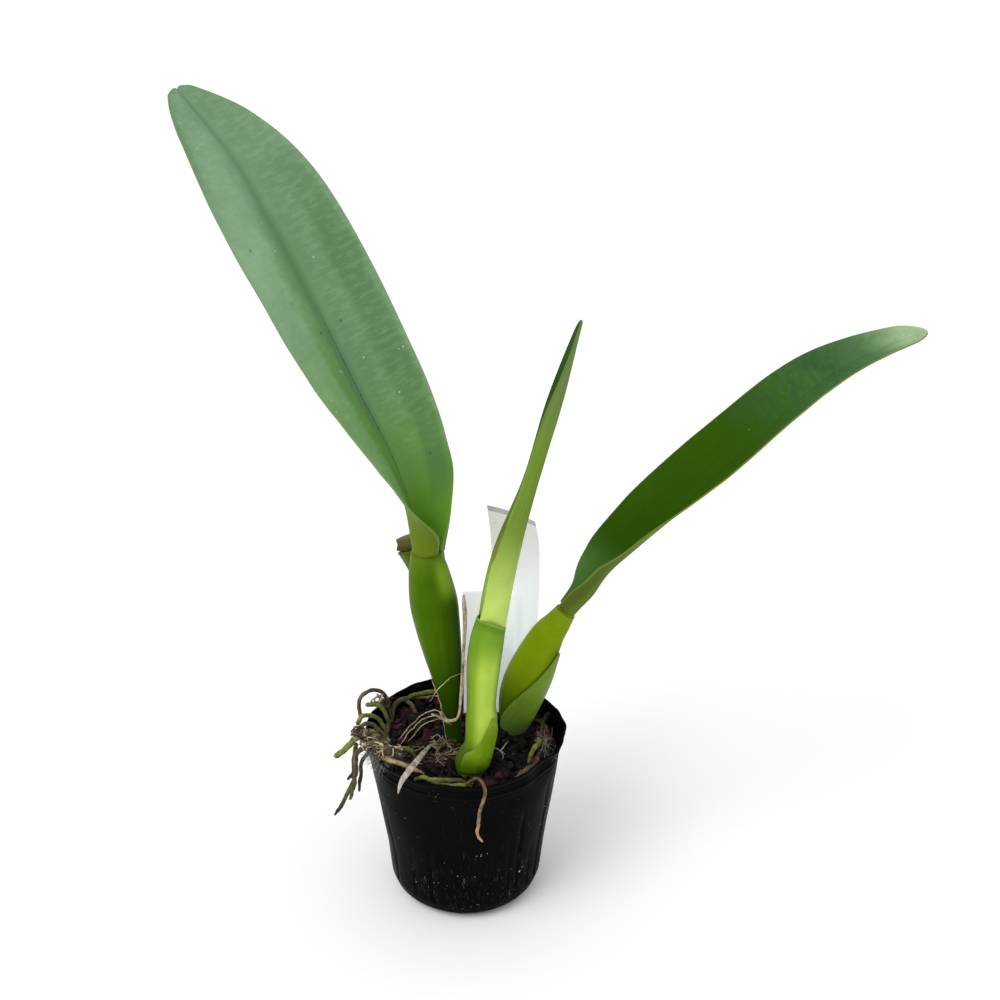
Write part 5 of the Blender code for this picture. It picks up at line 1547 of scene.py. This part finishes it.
class ORCHID_OT_stems(bpy.types.Operator):
    """Build the creeping stem and the three pseudobulbs"""

    bl_idname = "orchid.stems"
    bl_label = "Stems and pseudobulbs"

    def execute(self, context):
        settings = context.scene.orchid_growth
        # sheen sets the painted highlight near the top of the left pseudobulb
        left_look = bulb_material("bulb_left_waxy", settings.left_bulb, colour(36, 64, 0), colour(84, 108, 2),
                                  colour(92, 84, 20), sheen=0.95)
        right_look = bulb_material("bulb_right_waxy", settings.right_bulb, colour(56, 82, 0),
                                   colour(126, 150, 14), colour(88, 84, 20))
        back_look = bulb_material("bulb_back_old", colour(72, 92, 26), colour(44, 58, 14),
                                  colour(96, 110, 40), colour(92, 60, 30), older=0.25)
        stem_look = bulb_material("creeping_stem_skin", colour(88, 106, 40), colour(58, 66, 24),
                                  colour(120, 128, 66), colour(92, 70, 36), scar=0.985, older=0.35)
        scar_look = bulb_material("leaf_scar_dry", colour(92, 92, 44), colour(60, 60, 26), colour(96, 62, 42),
                                  colour(96, 58, 36), scar=0.93, older=0.1)
        left_rings = ((0.988, 0.12, 0.003), (0.2, 0.1, 0.006))
        right_rings = ((0.985, 0.12, 0.004), (0.3, 0.1, 0.006))
        left = stalk_skin(BULB_LEFT, 200, 96, ribs=0.12, seed=41, rings=left_rings)
        right = stalk_skin(BULB_RIGHT, 160, 96, ribs=0.14, seed=43, rings=right_rings)
        back = stalk_skin(BULB_BACK, 140, 80, BACK_FLATNESS, 0.5, seed=45, rings=((0.99, 0.3, 0.006),))
        stub = stalk_skin(STUB_BACK, 30, 80, BACK_FLATNESS, 0.5, seed=47, dome=0.5)
        piece("left_pseudobulb", [left], left_look, "pseudobulb_left_skin", "pseudobulb_left")
        piece("right_pseudobulb", [right], right_look, "pseudobulb_right_skin", "pseudobulb_right")
        piece("back_pseudobulb", [back], back_look, "pseudobulb_back_skin", "pseudobulb_back")
        piece("cut_leaf_foot", [stub], scar_look, "leaf_stub_skin", "leaf_stub_back")
        main_rings = tuple((middle, 0.5, 0.01) for middle in (0.2, 0.5, 0.8))
        stem = [
            stalk_skin(RHIZOME_MAIN, 80, 48, ribs=0.3, seed=51, rings=main_rings),
            stalk_skin(RHIZOME_LEAD, 50, 48, ribs=0.3, seed=53, rings=((0.5, 0.5, 0.02),)),
        ]
        for (x, y, z, r), *_ in (BULB_LEFT, BULB_BACK, BULB_RIGHT, SHOOT):
            stem.append(stalk_skin(((x, y, z - 7, r), (x, y, z + 0.4, r)), 20, 40, seed=49))
        piece("creeping_stem", stem, stem_look, "rhizome_skin", "rhizome")
        return {"FINISHED"}


class ORCHID_OT_sheaths(bpy.types.Operator):
    """Build the young shoot, its bract and the clasping sheath"""

    bl_idname = "orchid.sheaths"
    bl_label = "Shoot and sheaths"

    def execute(self, context):
        settings = context.scene.orchid_growth
        piece("young_shoot", [shoot_skin()], shoot_material(settings), "shoot_skin", "shoot_centre")
        bract = clasp_skin(SHOOT, BRACT, SHOOT_FLATNESS, 63)
        # the bract's dark foot colour is painted shade
        fresh = sheath_material("bract_fresh", colour(116, 150, 22), colour(54, 78, 2),
                                colour(160, 186, 84), 0.2)
        piece("shoot_bract", [bract], fresh, "bract_skin", "bract_centre")
        sheath = clasp_skin(BULB_RIGHT, SHEATH_RIGHT, 1.0, 65)
        scuffed = sheath_material("clasping_sheath", settings.sheath, colour(84, 122, 46),
                                  colour(186, 196, 150), 0.5)
        piece("right_sheath", [sheath], scuffed, "sheath_right_skin", "sheath_right")
        return {"FINISHED"}


class ORCHID_OT_leaves(bpy.types.Operator):
    """Build the two grown leaves and the folded young one"""

    bl_idname = "orchid.leaves"
    bl_label = "Leaves"

    def execute(self, context):
        settings = context.scene.orchid_leaf
        left, right, young = leaf_skin(LEAF_LEFT), leaf_skin(LEAF_RIGHT), leaf_skin(LEAF_CENTRE, 160, 49)
        piece("left_leaf", [left], left_leaf_material(settings), "leaf_left_skin", "leaf_left")
        piece("right_leaf", [right], right_leaf_material(settings), "leaf_right_skin", "leaf_right")
        piece("young_leaf", [young], young_leaf_material(settings), "leaf_centre_skin", "leaf_centre")
        return {"FINISHED"}


class ORCHID_OT_roots(bpy.types.Operator):
    """Build the roots, the dry tangles and the fuzz on them"""

    bl_idname = "orchid.roots"
    bl_label = "Roots"

    def execute(self, context):
        settings = context.scene.orchid_roots
        look = root_material("root_velvet", 9.0, 0.3)
        fibre, moss = tuple(settings.fibre), tuple(settings.moss)
        brown, dark, grey = colour(122, 102, 80), colour(66, 52, 40), colour(196, 196, 188)
        dry = [fibre, brown, dark, brown]
        tangle = [
            fibres_skin(count, middle, half, 101 + index, (0.2, 0.5), dry, 20, curl=0.45)
            for index, (middle, half, count) in enumerate(TANGLE)
        ]
        mossy, pale, dull = [moss, grey, colour(108, 134, 126)], [fibre, grey, brown], [brown, dark]
        count = settings.fuzz
        fuzz = [
            hairs_skin(count, (-41, -27, 94.5), (9, 7, 4), 131, (0.05, 0.09), mossy, (1.5, 5.5)),
            hairs_skin(count // 3, (-49, -16, 98), (6, 6, 2.5), 133, (0.05, 0.1), pale, (1.0, 4.0)),
            hairs_skin(count // 5, (-44, 23, 97), (5, 5, 3), 135, (0.05, 0.1), dull, (1.0, 3.0)),
        ]
        hairs = fibres_skin(38, (42.5, -4, 88.8), (6, 15, 4.5), 141, (0.04, 0.08), [grey, grey, moss],
                            sides=4, length=(0.4, 0.9), curl=0.22)
        left = roots_skins(ROOTS_LEFT, settings.grain, 201)
        piece("left_roots", left + tangle, look, "root_skin", "roots_left")
        piece("tangle_fuzz", fuzz, look, "root_skin")
        piece("back_roots", roots_skins(ROOTS_BACK, settings.grain, 231), look, "root_skin", "roots_back")
        piece("front_roots", roots_skins(ROOTS_FRONT, settings.grain, 251), look, "root_skin", "roots_front")
        right = roots_skins(ROOTS_RIGHT, settings.grain, 271)
        piece("right_roots", right + [hairs], look, "root_skin", "roots_right")
        return {"FINISHED"}


class ORCHID_OT_dry_sheaths(bpy.types.Operator):
    """Build the frayed strand, its loop, the loose thin fibres and the dry blade"""

    bl_idname = "orchid.dry_sheaths"
    bl_label = "Dry sheaths"

    def execute(self, context):
        fibre = np.array(context.scene.orchid_roots.fibre)
        look = root_material("dry_fibre", 5.0, 0.4)
        skins = []
        for index, (radius, count, points) in enumerate(STRAND):
            skins += strand_skins(radius, count, points, fibre, 301 + index)
        for index, (radius, points) in enumerate(THIN_FIBRES):
            skins.append(thin_fibre_skin(radius, points, fibre * (1.0 + 0.2 * (index % 2)), 331 + index))
        piece("dry_strand", skins, look, "dry_sheath", "dry_sheath_strand")
        striped = root_material("dry_blade_striped", 4.0, 0.6, 7)
        piece("dry_blade", [dry_blade_skin()], striped, "dry_sheath", "dry_sheath_blade")
        brown, pink = colour(118, 98, 76), colour(176, 142, 128)
        litter = [
            fibres_skin(24, (-15, -17, 89.5), (17, 13, 2.6), 311, (0.12, 0.22), [brown, pink, fibre],
                        length=(0.6, 1.4), curl=0.22),
            fibres_skin(12, (-13, -10, 92), (10, 9, 3.5), 313, (0.12, 0.24), [fibre, pink], curl=0.2),
        ]
        piece("dry_litter", litter, look, "dry_sheath")
        return {"FINISHED"}


class ORCHID_OT_tags(bpy.types.Operator):
    """Build the two blank tags"""

    bl_idname = "orchid.tags"
    bl_label = "Tags"

    def execute(self, context):
        settings = context.scene.orchid_tags
        for shape, band, name, look, node in (
            (TAG_TALL, 0.8, "tall_tag", "tag_tall_white", "tag_tall"),
            (TAG_SHORT, 0.0, "short_tag", "tag_short_white", "tag_short"),
        ):
            skin = tag_skin(shape, settings.thickness / MM)
            piece(name, [skin], tag_material(look, settings, band), "tag_plastic", node)
        return {"FINISHED"}


class ORCHID_OT_stage(bpy.types.Operator):
    """Set up the camera, the soft light and the pale floor"""

    bl_idname = "orchid.stage"
    bl_label = "Camera, light and floor"

    def execute(self, context):
        scene, settings = context.scene, context.scene.orchid_stage
        camera = bpy.data.cameras.new("camera")
        camera.lens = settings.lens
        camera.clip_end = 50
        scene.camera = linked("camera", camera)
        scene.camera.location = settings.place
        scene.camera.rotation_euler = (math.pi / 2 - settings.pitch, 0, 0)
        add_floor(settings.floor)
        add_light("window_light", "SUN", (-1.0, -0.85, 1.5), (0, 0, 0), settings.sun, angle=math.radians(40))
        add_light("sheen_light", "AREA", (-0.9, -0.9, 1.5), (0, 0, 0.2), settings.sheen, size=0.5)
        world = bpy.data.worlds.new("studio")
        world.use_nodes = True
        background = world.node_tree.nodes["Background"]
        background.inputs["Color"].default_value = (1, 1, 1, 1)
        background.inputs["Strength"].default_value = settings.sky
        scene.world = world
        scene.view_settings.view_transform = "Standard"
        scene.view_settings.look = "None"
        return {"FINISHED"}


def linked(name, data):
    """A new object in the scene that shows the data."""
    made = bpy.data.objects.new(name, data)
    bpy.context.scene.collection.objects.link(made)
    return made


def add_floor(shade, half=40.0, drop=0.0004):
    """One large square just under the pot."""
    mesh = bpy.data.meshes.new("floor")
    corners = [(x * half, y * half, -drop) for x, y in ((-1, -1), (1, -1), (1, 1), (-1, 1))]
    mesh.from_pydata(corners, [], [(0, 1, 2, 3)])
    paint = bpy.data.materials.new("floor_matt")
    paint.use_nodes = True
    shader = paint.node_tree.nodes["Principled BSDF"]
    shader.inputs["Base Color"].default_value = (*shade, 1)
    shader.inputs["Roughness"].default_value = 0.9
    shader.inputs["Specular IOR Level"].default_value = 0.1
    mesh.materials.append(paint)
    linked("floor", mesh)


def add_light(name, kind, place, target, energy, **settings):
    """A lamp of that kind that looks from its place at a target, with its own further settings."""
    light = bpy.data.lights.new(name, kind)
    light.energy = energy
    for setting, value in settings.items():
        setattr(light, setting, value)
    holder = linked(name, light)
    holder.location = place
    holder.rotation_euler = (Vector(target) - Vector(place)).to_track_quat("-Z", "Y").to_euler()


class ORCHID_PT_panel(bpy.types.Panel):
    """Lists the pieces and their settings"""

    bl_label = "Potted orchid"
    bl_idname = "ORCHID_PT_panel"
    bl_space_type = "VIEW_3D"
    bl_region_type = "UI"
    bl_category = "Orchid"

    def draw(self, context):
        for operator in OPERATORS:
            self.layout.operator(operator.bl_idname)
        for name, group in SETTINGS:
            box = self.layout.box()
            box.label(text=group.__doc__)
            for value in group.__annotations__:
                box.prop(getattr(context.scene, name), value)


OPERATORS = (
    ORCHID_OT_pot, ORCHID_OT_mix, ORCHID_OT_stems, ORCHID_OT_sheaths, ORCHID_OT_leaves, ORCHID_OT_roots,
    ORCHID_OT_dry_sheaths, ORCHID_OT_tags, ORCHID_OT_stage,
)
SETTINGS = (
    ("orchid_pot", OrchidPotSettings),
    ("orchid_mix", OrchidMixSettings),
    ("orchid_growth", OrchidGrowthSettings),
    ("orchid_leaf", OrchidLeafSettings),
    ("orchid_roots", OrchidRootSettings),
    ("orchid_tags", OrchidTagSettings),
    ("orchid_stage", OrchidStageSettings),
)


def register():
    for name, group in SETTINGS:
        bpy.utils.register_class(group)
        setattr(bpy.types.Scene, name, PointerProperty(type=group))
    for made in (*OPERATORS, ORCHID_PT_panel):
        bpy.utils.register_class(made)


def unregister():
    for made in (ORCHID_PT_panel, *reversed(OPERATORS)):
        bpy.utils.unregister_class(made)
    for name, group in reversed(SETTINGS):
        delattr(bpy.types.Scene, name)
        bpy.utils.unregister_class(group)


def main():
    """Registers everything and builds every piece."""
    register()
    for operator in OPERATORS:
        kind, name = operator.bl_idname.split(".")
        getattr(getattr(bpy.ops, kind), name)()
    bpy.context.view_layer.update()


if __name__ == "__main__":
    main()
